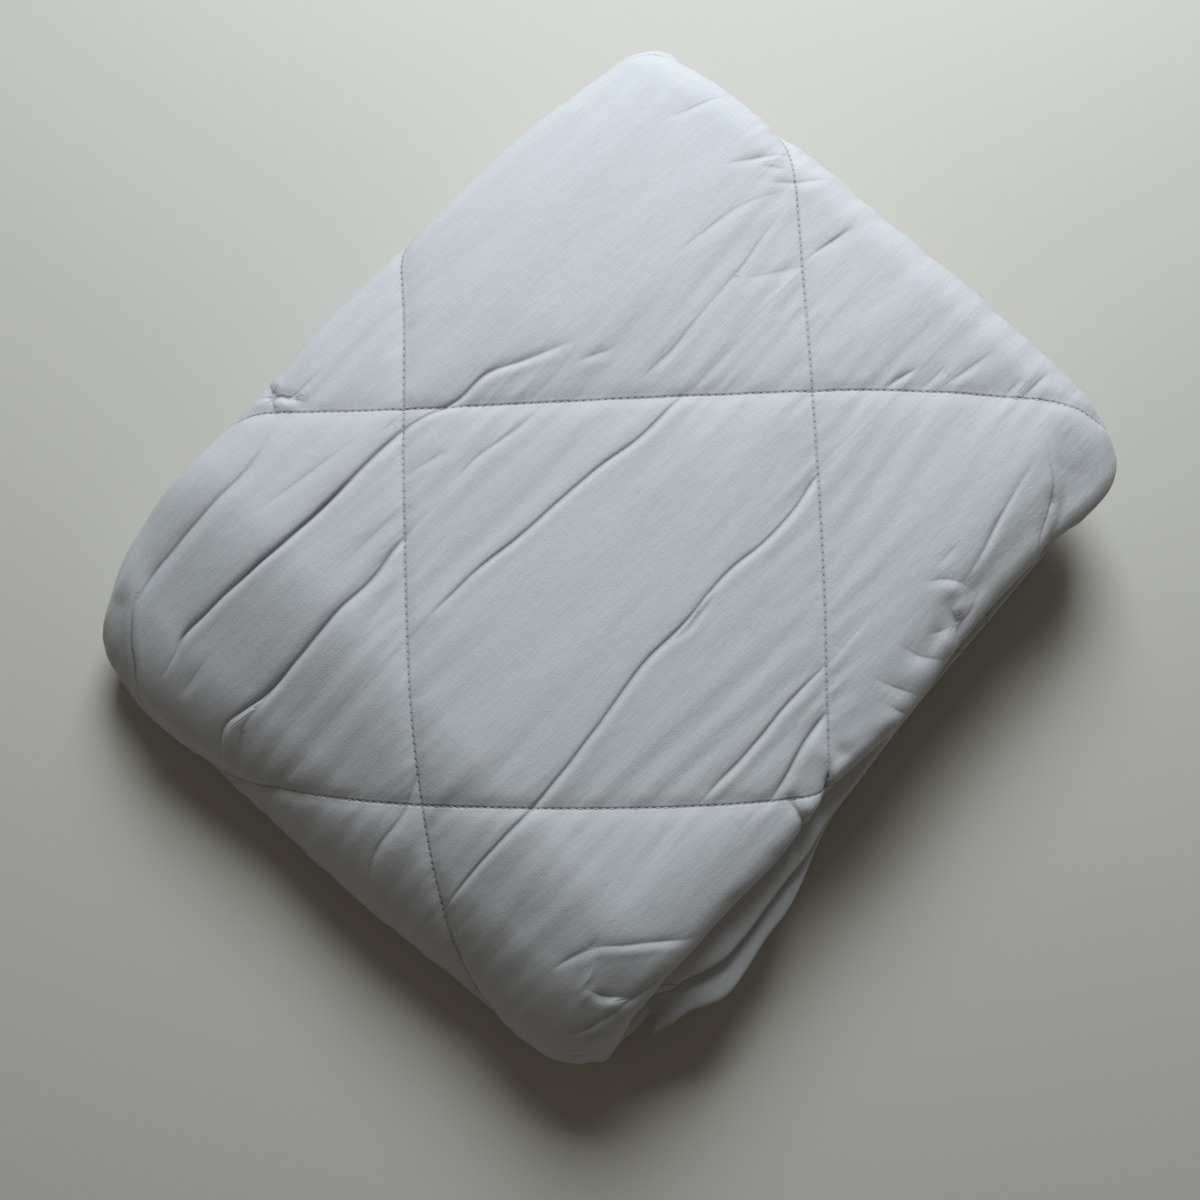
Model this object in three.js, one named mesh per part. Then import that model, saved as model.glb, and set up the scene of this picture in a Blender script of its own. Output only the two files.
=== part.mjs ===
// A diamond-quilted comforter, folded lengthwise in thirds and rolled flat, one and a half turns.
// Millimetres. X runs along the packet's long side, Y along the axis of the roll, Z up from the floor.
// The strip of three plies is one closed solid: its cross-section is swept along a flattened spiral.
import * as THREE from "three";

// Driving dimensions
const PACKET_LENGTH = 676; // over the two wrapped ends, along X, before they draw in
const PLY_THICKNESS = 13.4; // shell and filling of one layer, as pressed in the packet
const PLY_GAP = 1.4; // between two layers of the folded strip
const PASS_GAP = 3.4; // between two passes of the rolled strip
const HEM_THICKNESS = 2.8; // at the knife-edge seam round the comforter
const HEM_TAPER = 16; // over which a layer thins down to its hem
const END_SHARE = 0.5; // of the hem's thickness, left at the comforter's two ends
const STRIP_WIDTH = 530; // of the folded strip, about a third of the comforter's width
const TUCK_GAP = 4; // between the tucked hem and the start of the large fold round it
const HEM_STEP = 0.03; // share of a pass over which the layers thin at the comforter's two ends
const QUILT_SQUARE = 300; // side of a quilted square, sewn at 45 degrees to the comforter's sides
const QUILT_CROSSING = { x: -34, y: -241 }; // one crossing of two stitch lines, on the top
const CHANNEL_DEPTH = 7; // of a stitch line below the crown of its squares
const CHANNEL_REACH = 34; // over which the cloth climbs out of a channel
const INNER_END_X = -266; // the comforter's first end, inside the roll
const OUTER_END_X = 292; // its last end, underneath
const END_ZONE = { from: 180, over: 130 }; // distances from the middle over which the ends draw in
const SIDE_Y = 270; // usual distance of the packet's sides from its middle
const SAG = { depth: 38, fromX: -175, over: 140 }; // of the large turn, past the roll's inner end
const SAG_RISE = { above: 30, over: 70 }; // heights between which the sag sets in: the bottom stays put
const FLAT_FROM = { path: 3.5, over: 0.3 }; // from here on the skin is flat, for the packet lies on it
const CROWN = { sides: 0.11, ends: 0.07, power: 4 }; // share of the height lost towards the rim

// Derived sizes
const PLY_PITCH = PLY_THICKNESS + PLY_GAP;
const HALF_PLY = PLY_THICKNESS / 2;
const HALF_STRIP = PLY_PITCH + HALF_PLY;
const PASS_PITCH = 2 * HALF_STRIP + PASS_GAP;
const LEVEL = [0, 1, 2].map((pass) => HALF_STRIP + pass * PASS_PITCH); // bottom, middle, top
const TURN_RADIUS = PASS_PITCH / 2; // the small turn at +X, from the middle pass up to the top one
const WRAP_RADIUS = PASS_PITCH; // the large turn at -X, round the inner end
const TURN_X = PACKET_LENGTH / 2 - TURN_RADIUS - HALF_STRIP;
const WRAP_X = -(PACKET_LENGTH / 2 - WRAP_RADIUS - HALF_STRIP);
const TURN_Z = (LEVEL[1] + LEVEL[2]) / 2;
const WRAP_Z = LEVEL[1];
const TURN_SKIN = TURN_RADIUS + HALF_STRIP; // outer radius of each turn
const WRAP_SKIN = WRAP_RADIUS + HALF_STRIP;
const HEM_HALF = HEM_THICKNESS / 2;

// The strip's sides along its path, in Y. The path coordinate counts the five stretches in order:
// 0 to 1 middle pass, to 2 small turn, to 3 top pass, to 4 large turn, to 5 bottom pass.
const SIDES = [
  { path: 0.0, foldSide: -258, hemSide: -266, backFold: 259 },
  { path: 0.06, foldSide: -265, hemSide: -272, backFold: 263 },
  { path: 0.13, foldSide: -278, hemSide: -287, backFold: 266 },
  { path: 0.24, foldSide: -281, hemSide: -280, backFold: 268 },
  { path: 0.42, foldSide: -257, hemSide: -256, backFold: 270 },
  { path: 0.6, foldSide: -249, hemSide: -250, backFold: 270 },
  { path: 1.0, foldSide: -250, hemSide: -247, backFold: 266 },
  { path: 1.5, foldSide: -251, hemSide: -244, backFold: 268 },
  { path: 2.0, foldSide: -252, hemSide: -246, backFold: 274 },
  { path: 2.25, foldSide: -247, hemSide: -246, backFold: 283 },
  { path: 2.45, foldSide: -246, hemSide: -249, backFold: 287 },
  { path: 2.58, foldSide: -242, hemSide: -253, backFold: 286 },
  { path: 2.68, foldSide: -244, hemSide: -261, backFold: 283 },
  { path: 2.82, foldSide: -239, hemSide: -266, backFold: 281 },
  { path: 2.92, foldSide: -238, hemSide: -252, backFold: 283 },
  { path: 3.0, foldSide: -241, hemSide: -238, backFold: 282 },
  { path: 3.5, foldSide: -254, hemSide: -238, backFold: 274 },
  { path: 4.0, foldSide: -262, hemSide: -252, backFold: 274 },
  { path: 4.25, foldSide: -285, hemSide: -275, backFold: 270 },
  { path: 4.45, foldSide: -263, hemSide: -256, backFold: 272 },
  { path: 4.65, foldSide: -254, hemSide: -248, backFold: 272 },
  { path: 5.0, foldSide: -252, hemSide: -246, backFold: 266 },
];

// By how much the two wrapped ends draw in, towards the middle, at places across the packet.
const DRAWN_IN = [
  { y: -292, left: 4, right: 40 },
  { y: -276, left: 8, right: 45 },
  { y: -266, left: 16, right: 46 },
  { y: -257, left: 32, right: 42 },
  { y: -249, left: 36, right: 32 },
  { y: -240, left: 29, right: 24 },
  { y: -225, left: 20, right: 13 },
  { y: -200, left: 14, right: 8 },
  { y: -133, left: 11, right: 4 },
  { y: 0, left: 2, right: 2 },
  { y: 120, left: -3, right: 2 },
  { y: 180, left: -6, right: 3 },
  { y: 225, left: -5, right: 4 },
  { y: 248, left: 0, right: 6 },
  { y: 260, left: 8, right: 11 },
  { y: 271, left: 20, right: 19 },
  { y: 290, left: 36, right: 40 },
];

// How many facets each stretch of the path, and each stretch of the cross-section, is given
const PATH_STEPS = [
  { stretch: "middle pass", steps: 12 },
  { stretch: "small turn", steps: 7 },
  { stretch: "top pass", steps: 22 },
  { stretch: "large turn", steps: 9 },
  { stretch: "bottom pass", steps: 12 },
];
const OUTWARD_STEPS = { tucked: 5, smallFold: 7, outer: 20, largeFold: 8, covering: 6 };
const INWARD_STEPS = { tucked: 3, smallFold: 3, outer: 3, largeFold: 4, covering: 3 };

const clamp = (value, low, high) => Math.min(high, Math.max(low, value));
const smooth = (t) => t * t * (3 - 2 * t);
const lerp = (a, b, t) => a + (b - a) * t;

// A column of the table of sides at a path coordinate, eased between its rows.
function sideAt(path, column) {
  const next = clamp(SIDES.findIndex((row) => row.path >= path), 1, SIDES.length - 1);
  const [a, b] = [SIDES[next - 1], SIDES[next]];
  return lerp(a[column], b[column], smooth(clamp((path - a.path) / (b.path - a.path), 0, 1)));
}

// A column of the table of drawn-in ends at a place across the packet.
function drawnInAt(y, column) {
  const found = DRAWN_IN.findIndex((row) => row.y >= y);
  const next = found < 0 ? DRAWN_IN.length - 1 : Math.max(found, 1);
  const [a, b] = [DRAWN_IN[next - 1], DRAWN_IN[next]];
  return lerp(a[column], b[column], clamp((y - a.y) / (b.y - a.y), 0, 1));
}

// The middle of the strip at a path coordinate: its place, the outward direction across the strip,
// and the distance along the outer skin, counted so that it equals x on the top pass.
function pathFrame(path) {
  const stretch = Math.min(Math.floor(path), 4);
  const t = path - stretch;
  if (stretch === 0) {
    const x = lerp(INNER_END_X, TURN_X, t);
    return { x, z: LEVEL[1], nx: 0, nz: -1, skin: 2 * TURN_X + TURN_SKIN * Math.PI - x };
  }
  if (stretch === 1) {
    const angle = Math.PI * (t - 0.5);
    const [nx, nz] = [Math.cos(angle), Math.sin(angle)];
    const skin = TURN_X + TURN_SKIN * Math.PI * (1 - t);
    return { x: TURN_X + TURN_RADIUS * nx, z: TURN_Z + TURN_RADIUS * nz, nx, nz, skin };
  }
  if (stretch === 2) {
    const x = lerp(TURN_X, WRAP_X, t);
    return { x, z: LEVEL[2], nx: 0, nz: 1, skin: x };
  }
  if (stretch === 3) {
    const angle = Math.PI * (t + 0.5);
    const [nx, nz] = [Math.cos(angle), Math.sin(angle)];
    const skin = WRAP_X - WRAP_SKIN * Math.PI * t;
    return { x: WRAP_X + WRAP_RADIUS * nx, z: WRAP_Z + WRAP_RADIUS * nz, nx, nz, skin };
  }
  const x = lerp(WRAP_X, OUTER_END_X, t);
  return { x, z: LEVEL[0], nx: 0, nz: -1, skin: 2 * WRAP_X - WRAP_SKIN * Math.PI - x };
}

// How far the quilting draws the cloth in at a place on the outer skin: 1 on a stitch line, 0 far off.
function quilting(skin, across) {
  const [dx, dy] = [skin - QUILT_CROSSING.x, across - QUILT_CROSSING.y];
  const pull = [dx + dy, dx - dy].map((sum) => {
    const lines = sum / Math.SQRT2 / QUILT_SQUARE;
    return Math.exp(-(Math.abs(lines - Math.round(lines)) * QUILT_SQUARE) / CHANNEL_REACH);
  });
  return 1 - (1 - pull[0]) * (1 - pull[1]);
}

// The stretches of the cross-section's middle line, from the hem of the tucked third to the hem of the
// covering third: y across the strip, n outwards, both from the strip's middle.
function sectionStretches({ foldSide, hemSide, backFold }) {
  const small = foldSide + PLY_PITCH / 2 + HALF_PLY; // centre of the small fold, between two layers
  const large = backFold - HALF_STRIP; // centre of the large fold, round the tucked hem
  const tuckedHem = large - TUCK_GAP;
  const line = (from, to, n, side) => (t) => ({ y: lerp(from, to, t), n, ny: 0, nn: side });
  const arc = (y, n, radius, start, end) => (t) => {
    const angle = lerp(start, end, t);
    const [ny, nn] = [Math.cos(angle), Math.sin(angle)];
    return { y: y + radius * ny, n: n + radius * nn, ny, nn };
  };
  return {
    tucked: line(tuckedHem, small, 0, -1),
    smallFold: arc(small, PLY_PITCH / 2, PLY_PITCH / 2, 1.5 * Math.PI, 0.5 * Math.PI),
    outer: line(small, large, PLY_PITCH, 1),
    largeFold: arc(large, 0, PLY_PITCH, 0.5 * Math.PI, -0.5 * Math.PI),
    covering: line(large, hemSide, -PLY_PITCH, -1),
  };
}

// The closed outline of the three plies at one station of the path: up the outward side of the middle
// line and back down its other side. Each point has y and n, and along, its place on the middle line.
// ends is 1 along the strip and 0 at the comforter's own two ends, where every layer thins to its hem.
function sectionOutline(frame, sides, ends) {
  const runs = sectionStretches(sides);
  const order = Object.keys(runs);
  const thickness = (fromHem) =>
    lerp(HEM_HALF, HALF_PLY, Math.sqrt(clamp(fromHem / HEM_TAPER, 0, 1))) * lerp(END_SHARE, 1, ends);
  const fromHem = { tucked: (t) => t * STRIP_WIDTH, covering: (t) => (1 - t) * STRIP_WIDTH };
  const pointOf = (run, t, side) => {
    const point = runs[run](t);
    const onSkin = run === "outer" && side > 0;
    const sewn = onSkin ? frame.quilted * CHANNEL_DEPTH * quilting(frame.skin, point.y) : 0;
    const half = side * (thickness(fromHem[run]?.(t) ?? HEM_TAPER) - sewn);
    return { y: point.y + half * point.ny, n: point.n + half * point.nn, along: order.indexOf(run) + t };
  };
  const sideOf = (steps, side) =>
    order.flatMap((run) => {
      const joined = run.endsWith("Fold") ? 1 : 0; // its first and last points are its neighbours'
      const count = steps[run] + 1 - 2 * joined;
      return Array.from({ length: count }, (_, i) => pointOf(run, (i + joined) / steps[run], side));
    });
  return [...sideOf(OUTWARD_STEPS, 1), ...sideOf(INWARD_STEPS, -1).reverse()];
}

// Settles a point of the sharp-cornered packet into its final shape: the wrapped ends draw in, most of
// all at the corners, the large turn sags, and the whole packet is highest in its middle. The floor
// stays at z = 0.
function settle(x, y, z) {
  const drawn = drawnInAt(y, x < 0 ? "left" : "right");
  const nearEnd = smooth(clamp((Math.abs(x) - END_ZONE.from) / END_ZONE.over, 0, 1));
  const sag = SAG.depth * smooth(clamp((SAG.fromX - x) / SAG.over, 0, 1));
  const sunk = z - sag * smooth(clamp((z - SAG_RISE.above) / SAG_RISE.over, 0, 1));
  const lost =
    CROWN.sides * Math.abs(y / SIDE_Y) ** CROWN.power +
    CROWN.ends * Math.abs((2 * x) / PACKET_LENGTH) ** CROWN.power;
  return [x - Math.sign(x) * drawn * nearEnd, y, sunk * (1 - lost)];
}

// The strip's share of channels at a path coordinate: the skin is flat where the packet lies on it.
function quiltedShare(path) {
  return 1 - smooth(clamp((path - FLAT_FROM.path) / FLAT_FROM.over, 0, 1));
}

// How much of the strip's thickness is left at a path coordinate, near the comforter's two ends.
function endShare(path) {
  const length = TURN_X - INNER_END_X;
  const fromEnd = Math.min(path, 5 - path) * length;
  return Math.sqrt(clamp(fromEnd / HEM_TAPER / 2, 0, 1));
}

// The path coordinates of all the cross-sections.
function stations() {
  const list = [0, HEM_STEP];
  PATH_STEPS.forEach(({ steps }, stretch) => {
    for (let i = 1; i <= steps; i++) list.push(stretch + i / steps);
  });
  list.splice(list.length - 1, 0, 5 - HEM_STEP);
  return list;
}

// The triangles that close an outline, zipped between its two sides and wound the way it runs.
function capFaces(outline) {
  const turn = outline.findIndex((point, i) => i > 0 && point.along <= outline[i - 1].along);
  let [i, j] = [0, outline.length - 1];
  const faces = [];
  while (i < turn - 1 || j > turn) {
    const upFirst = j === turn || (i < turn - 1 && outline[i + 1].along <= outline[j - 1].along);
    faces.push(upFirst ? [i, i + 1, j] : [i, j - 1, j]);
    if (upFirst) i++;
    else j--;
  }
  return faces;
}

// The whole comforter: a cross-section at each station, walls between them and a cap at each end.
function comforterGeometry() {
  const rings = stations().map((path) => {
    const frame = { ...pathFrame(path), quilted: quiltedShare(path) };
    const sides = Object.fromEntries(
      ["foldSide", "hemSide", "backFold"].map((column) => [column, sideAt(path, column)]),
    );
    const outline = sectionOutline(frame, sides, endShare(path));
    const points = outline.map(({ y, n }) => settle(frame.x + n * frame.nx, y, frame.z + n * frame.nz));
    return { outline, points };
  });
  const count = rings[0].points.length;
  const positions = rings.flatMap((ring) => ring.points.flat());
  const faces = [];
  for (let ring = 0; ring + 1 < rings.length; ring++) {
    for (let i = 0; i < count; i++) {
      const j = (i + 1) % count;
      const [a, b] = [ring * count + i, ring * count + j];
      faces.push(a, b, a + count, b, b + count, a + count);
    }
  }
  const last = (rings.length - 1) * count;
  for (const [a, b, c] of capFaces(rings[0].outline)) faces.push(a, c, b);
  for (const [a, b, c] of capFaces(rings.at(-1).outline)) faces.push(last + a, last + b, last + c);
  const geometry = new THREE.BufferGeometry();
  geometry.setAttribute("position", new THREE.Float32BufferAttribute(positions, 3));
  geometry.setIndex(faces);
  return geometry;
}

const cloth = new THREE.MeshStandardMaterial({ color: 0xb4b7bb, roughness: 0.9, metalness: 0 });
const comforter = new THREE.Mesh(comforterGeometry(), cloth);
comforter.name = "comforter";

const rolledComforter = new THREE.Group();
rolledComforter.add(comforter);

export default rolledComforter;
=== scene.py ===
"""A light grey, diamond-quilted comforter, folded in thirds and rolled flat, on a plain pale floor.

The comforter is worked out in millimetres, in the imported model's frame, and its meshes are made in metres.
X runs along the packet's long side, Y along the axis of the roll, Z up from the floor.
"""
import logging
import math
from collections.abc import Callable
from dataclasses import dataclass, field
from enum import Enum

import bmesh
import bpy
import numpy as np
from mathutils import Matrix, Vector
from mathutils.bvhtree import BVHTree


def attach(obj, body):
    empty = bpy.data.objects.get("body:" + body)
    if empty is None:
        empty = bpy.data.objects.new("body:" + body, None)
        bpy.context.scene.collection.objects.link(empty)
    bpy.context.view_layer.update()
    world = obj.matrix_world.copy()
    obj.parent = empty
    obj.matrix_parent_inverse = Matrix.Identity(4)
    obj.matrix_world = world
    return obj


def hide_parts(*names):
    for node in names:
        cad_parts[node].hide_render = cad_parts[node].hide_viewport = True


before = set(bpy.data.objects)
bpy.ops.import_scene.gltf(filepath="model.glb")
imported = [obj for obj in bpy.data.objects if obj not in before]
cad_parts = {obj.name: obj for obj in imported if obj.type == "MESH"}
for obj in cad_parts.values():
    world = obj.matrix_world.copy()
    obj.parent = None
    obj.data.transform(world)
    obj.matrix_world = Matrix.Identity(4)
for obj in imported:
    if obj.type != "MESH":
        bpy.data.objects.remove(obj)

LOG = logging.getLogger("comforter")
MM = 0.001  # metres in a millimetre
FAR = 1000.0  # a distance in millimetres that stands for none near
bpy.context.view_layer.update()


# Curves and noise

def smooth(t: np.ndarray) -> np.ndarray:
    """A soft step from 0 to 1 as t goes from 0 to 1, flat outside."""
    t = np.clip(t, 0.0, 1.0)
    return t * t * (3.0 - 2.0 * t)


def lerp(a: float, b: float, t: np.ndarray) -> np.ndarray:
    """The value a share t of the way from a to b."""
    return a + (b - a) * t


def curve(x: np.ndarray, stops: list[float], values: list[float]) -> np.ndarray:
    """A smooth curve through a few stops, level beyond the first and the last.

    Args:
        x: Where to read the curve.
        stops: Rising places of the stops.
        values: The curve's values there.

    Returns:
        The curve's values at x.
    """
    stops, values = np.asarray(stops, float), np.asarray(values, float)
    slopes = np.gradient(values, stops)
    x = np.clip(x, stops[0], stops[-1])
    after = np.clip(np.searchsorted(stops, x), 1, len(stops) - 1)
    gap, rise = stops[after] - stops[after - 1], values[after] - values[after - 1]
    t = (x - stops[after - 1]) / gap
    bend = (slopes[after - 1] * gap - rise) * (1 - t) - (slopes[after] * gap - rise) * t
    return values[after - 1] + rise * t + bend * t * (1 - t)


@dataclass(frozen=True)
class Ramp:
    """A soft step from 0 at its start to 1 a reach further on. A reach below 0 steps the other way."""

    start: float
    reach: float

    def at(self, value: np.ndarray) -> np.ndarray:
        """The step's height at a value."""
        return smooth((value - self.start) / self.reach)


class SmoothNoise:
    """Seeded smooth noise from -1 to 1, whose bumps are about one unit wide."""

    SIZE = 64

    def __init__(self, seed: int) -> None:
        """Fills the lattice.

        Args:
            seed: Picks the lattice's values.
        """
        self.lattice = np.random.default_rng(seed).uniform(-1.0, 1.0, (self.SIZE,) * 3)

    def __call__(self, u: np.ndarray, v: np.ndarray, w: float = 0.0) -> np.ndarray:
        """The noise at some places.

        Args:
            u: First coordinate.
            v: Second coordinate.
            w: Third coordinate.

        Returns:
            Values from -1 to 1, in the shape of the coordinates.
        """
        cells, shares = [], []
        for axis in np.broadcast_arrays(u, v, w):
            low = np.floor(axis)
            cells.append(low.astype(int))
            shares.append(smooth(axis - low))
        total = 0.0
        for corner in np.ndindex(2, 2, 2):
            weight = 1.0
            for share, step in zip(shares, corner):
                weight = weight * (share if step else 1.0 - share)
            index = tuple((cell + step) % self.SIZE for cell, step in zip(cells, corner))
            total = total + weight * self.lattice[index]
        return total


@dataclass(frozen=True)
class Waves:
    """Waves of seeded noise on the skin: their height, their sizes along and across it, and their slice."""

    height: float
    along_size: float
    across_size: float
    slice_at: float = 0.0

    def at(self, noise: SmoothNoise, skin: np.ndarray, across: np.ndarray,
           share: float | np.ndarray = 1.0) -> np.ndarray:
        """The waves at places on the skin.

        Args:
            noise: The noise that they read, at their slice.
            skin: Distances along the skin.
            across: Distances across it.
            share: How much of their height is left there.

        Returns:
            Their heights.
        """
        return self.height * share * noise(skin / self.along_size, across / self.across_size, self.slice_at)


# The folded and rolled strip

class Run(Enum):
    """The stretches of the strip's cross-section, from the tucked third's hem to the covering third's."""

    TUCKED = 0
    SMALL_FOLD = 1
    OUTER = 2
    LARGE_FOLD = 3
    COVERING = 4


class Face(Enum):
    """The two sides of a layer: the skin of the folded strip, and the side that faces its own folds."""

    SKIN = 1
    LINING = -1


@dataclass(frozen=True)
class SideRow:
    """Where the strip's sides lie at one path coordinate, in Y."""

    path: float
    fold_side: float
    hem_side: float
    back_fold: float


@dataclass(frozen=True)
class DrawnRow:
    """By how much the two wrapped ends draw in at one place across the packet."""

    y: float
    left: float
    right: float


@dataclass
class Places:
    """Places on the comforter's surface, with what the relief and the material need to know there."""

    position: np.ndarray
    normal: np.ndarray
    path: np.ndarray
    skin: np.ndarray
    across: np.ndarray
    from_hem: np.ndarray


@dataclass
class Strip:
    """The folded strip, wound along a flattened spiral: the packet's form before any relief.

    The path coordinate counts five stretches: 0 to 1 middle pass, to 2 small turn, to 3 top pass,
    to 4 large turn, to 5 bottom pass. Along the skin, distances are counted so that they equal x on
    the top pass, and across it so that they equal y there.
    """

    packet_length: float = 676.0
    ply_thickness: float = 13.4
    ply_gap: float = 1.4
    pass_gap: float = 3.4
    hem_thickness: float = 2.4
    hem_taper: float = 17.0
    end_share: float = 0.5
    tuck_gap: float = 4.0
    inner_end_x: float = -266.0
    outer_end_x: float = 292.0
    side_y: float = 270.0
    end_zone: Ramp = Ramp(180.0, 130.0)
    sag_depth: float = 38.0
    sag_from_x: float = -185.0
    sag_slant: float = 0.08
    sag_over: float = 150.0
    sag_height: Ramp = Ramp(30.0, 70.0)
    crown_sides: float = 0.11
    crown_ends: float = 0.07
    crown_power: float = 4.0
    rim_drop: float = 0.07
    rim_side: Ramp = Ramp(-185.0, -80.0)
    rim_from: Ramp = Ramp(-330.0, 90.0)
    inset: float = 8.0
    inset_height: Ramp = Ramp(80.0, 30.0)
    inset_from: Ramp = Ramp(40.0, 90.0)
    inset_to: Ramp = Ramp(330.0, -150.0)
    inset_side: Ramp = Ramp(-190.0, -50.0)
    sides: tuple[SideRow, ...] = (
        SideRow(0.00, -258, -266, 259),
        SideRow(0.06, -265, -272, 263),
        SideRow(0.13, -278, -287, 266),
        SideRow(0.24, -281, -280, 268),
        SideRow(0.42, -257, -256, 270),
        SideRow(0.60, -249, -250, 270),
        SideRow(1.00, -250, -247, 266),
        SideRow(1.50, -251, -244, 268),
        SideRow(2.00, -252, -246, 274),
        SideRow(2.25, -247, -246, 283),
        SideRow(2.45, -246, -249, 287),
        SideRow(2.58, -242, -253, 286),
        SideRow(2.68, -244, -261, 283),
        SideRow(2.82, -239, -266, 281),
        SideRow(2.92, -238, -252, 283),
        SideRow(3.00, -241, -238, 282),
        SideRow(3.50, -254, -238, 274),
        SideRow(4.00, -262, -252, 274),
        SideRow(4.25, -285, -275, 270),
        SideRow(4.45, -263, -256, 272),
        SideRow(4.65, -254, -248, 272),
        SideRow(5.00, -252, -246, 266),
    )
    drawn_in: tuple[DrawnRow, ...] = (
        DrawnRow(-292, 4, 40),
        DrawnRow(-276, 8, 45),
        DrawnRow(-266, 16, 46),
        DrawnRow(-257, 32, 42),
        DrawnRow(-249, 36, 32),
        DrawnRow(-240, 29, 24),
        DrawnRow(-225, 20, 13),
        DrawnRow(-200, 14, 8),
        DrawnRow(-133, 11, 4),
        DrawnRow(0, 2, 2),
        DrawnRow(120, -3, 2),
        DrawnRow(180, -6, 3),
        DrawnRow(225, -5, 4),
        DrawnRow(248, 0, 6),
        DrawnRow(260, 8, 11),
        DrawnRow(271, 20, 19),
        DrawnRow(290, 36, 40),
    )

    def __post_init__(self) -> None:
        """Works out the sizes that follow from the others."""
        self.ply_pitch = self.ply_thickness + self.ply_gap
        self.half_ply = self.ply_thickness / 2
        self.half_strip = self.ply_pitch + self.half_ply
        self.pass_pitch = 2 * self.half_strip + self.pass_gap
        self.levels = [self.half_strip + step * self.pass_pitch for step in range(3)]
        self.turn_radius = self.pass_pitch / 2
        self.wrap_radius = self.pass_pitch
        self.turn_x = self.packet_length / 2 - self.turn_radius - self.half_strip
        self.wrap_x = -(self.packet_length / 2 - self.wrap_radius - self.half_strip)
        self.turn_z = (self.levels[1] + self.levels[2]) / 2
        self.wrap_z = self.levels[1]
        self.turn_length = (self.turn_radius + self.half_strip) * math.pi
        self.wrap_length = (self.wrap_radius + self.half_strip) * math.pi
        self.small_radius = self.ply_pitch / 2 + self.half_ply
        self.large_radius = self.half_strip
        self.small_arc, self.large_arc = math.pi * self.small_radius, math.pi * self.large_radius

    def side_at(self, path: np.ndarray, column: str) -> np.ndarray:
        """A column of the table of sides, eased between its rows.

        Args:
            path: Path coordinates.
            column: The column's name.

        Returns:
            The column's values there.
        """
        rows = np.array([row.path for row in self.sides])
        values = np.array([getattr(row, column) for row in self.sides], float)
        after = np.clip(np.searchsorted(rows, path), 1, len(rows) - 1)
        low, high = rows[after - 1], rows[after]
        return lerp(values[after - 1], values[after], smooth((path - low) / (high - low)))

    def drawn_at(self, y: np.ndarray, column: str) -> np.ndarray:
        """A column of the table of drawn-in ends at places across the packet."""
        rows = [row.y for row in self.drawn_in]
        return curve(y, rows, [getattr(row, column) for row in self.drawn_in])

    def fold_centres(self, path: np.ndarray) -> tuple[np.ndarray, np.ndarray]:
        """The centres of the two long folds.

        Args:
            path: Path coordinates.

        Returns:
            The Y of the small fold's centre, and that of the large fold's.
        """
        small = self.side_at(path, "fold_side") + self.small_radius
        large = self.side_at(path, "back_fold") - self.large_radius
        return small, large

    def middle_at(self, path: np.ndarray) -> tuple[np.ndarray, ...]:
        """The middle of the strip at path coordinates.

        Args:
            path: Path coordinates.

        Returns:
            x and z of the strip's middle, x and z of the outward direction, and the distance along
            the skin.
        """
        stretch = np.clip(np.floor(path), 0, 4)
        t = path - stretch
        turning, wrapping = np.pi * (t - 0.5), np.pi * (t + 0.5)
        none = np.zeros_like(t)
        middle_x = lerp(self.inner_end_x, self.turn_x, t)
        top_x = lerp(self.turn_x, self.wrap_x, t)
        bottom_x = lerp(self.wrap_x, self.outer_end_x, t)
        here = [stretch == number for number in range(5)]
        nx = np.select(here, [none, np.cos(turning), none, np.cos(wrapping), none])
        nz = np.select(here, [none - 1, np.sin(turning), none + 1, np.sin(wrapping), none - 1])
        turn_x, turn_z = self.turn_x + self.turn_radius * nx, self.turn_z + self.turn_radius * nz
        wrap_x, wrap_z = self.wrap_x + self.wrap_radius * nx, self.wrap_z + self.wrap_radius * nz
        bottom, middle, top = (none + level for level in self.levels)
        x = np.select(here, [middle_x, turn_x, top_x, wrap_x, bottom_x])
        z = np.select(here, [middle, turn_z, top, wrap_z, bottom])
        turn_skin = self.turn_x + self.turn_length * (1 - t)
        wrap_skin = self.wrap_x - self.wrap_length * t
        middle_skin = 2 * self.turn_x + self.turn_length - middle_x
        bottom_skin = 2 * self.wrap_x - self.wrap_length - bottom_x
        skin = np.select(here, [middle_skin, turn_skin, top_x, wrap_skin, bottom_skin])
        return x, z, nx, nz, skin

    def path_at(self, skin: np.ndarray) -> np.ndarray:
        """The way back from a distance along the skin to the path.

        Args:
            skin: Distances along the skin, from the small turn to the bottom pass.

        Returns:
            The path coordinates.
        """
        wrap_end = self.wrap_x - self.wrap_length
        marks = [wrap_end - (self.outer_end_x - self.wrap_x), wrap_end, self.wrap_x, self.turn_x,
                 self.turn_x + self.turn_length]
        return np.interp(skin, marks, [5.0, 4.0, 3.0, 2.0, 1.0])

    def end_share_at(self, path: np.ndarray) -> np.ndarray:
        """How much of the layers' thickness is left near the comforter's two ends: less at an end."""
        from_end = np.minimum(path, 5 - path) * (self.turn_x - self.inner_end_x)
        return lerp(self.end_share, 1, np.sqrt(np.clip(from_end / self.hem_taper / 2, 0, 1)))

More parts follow.
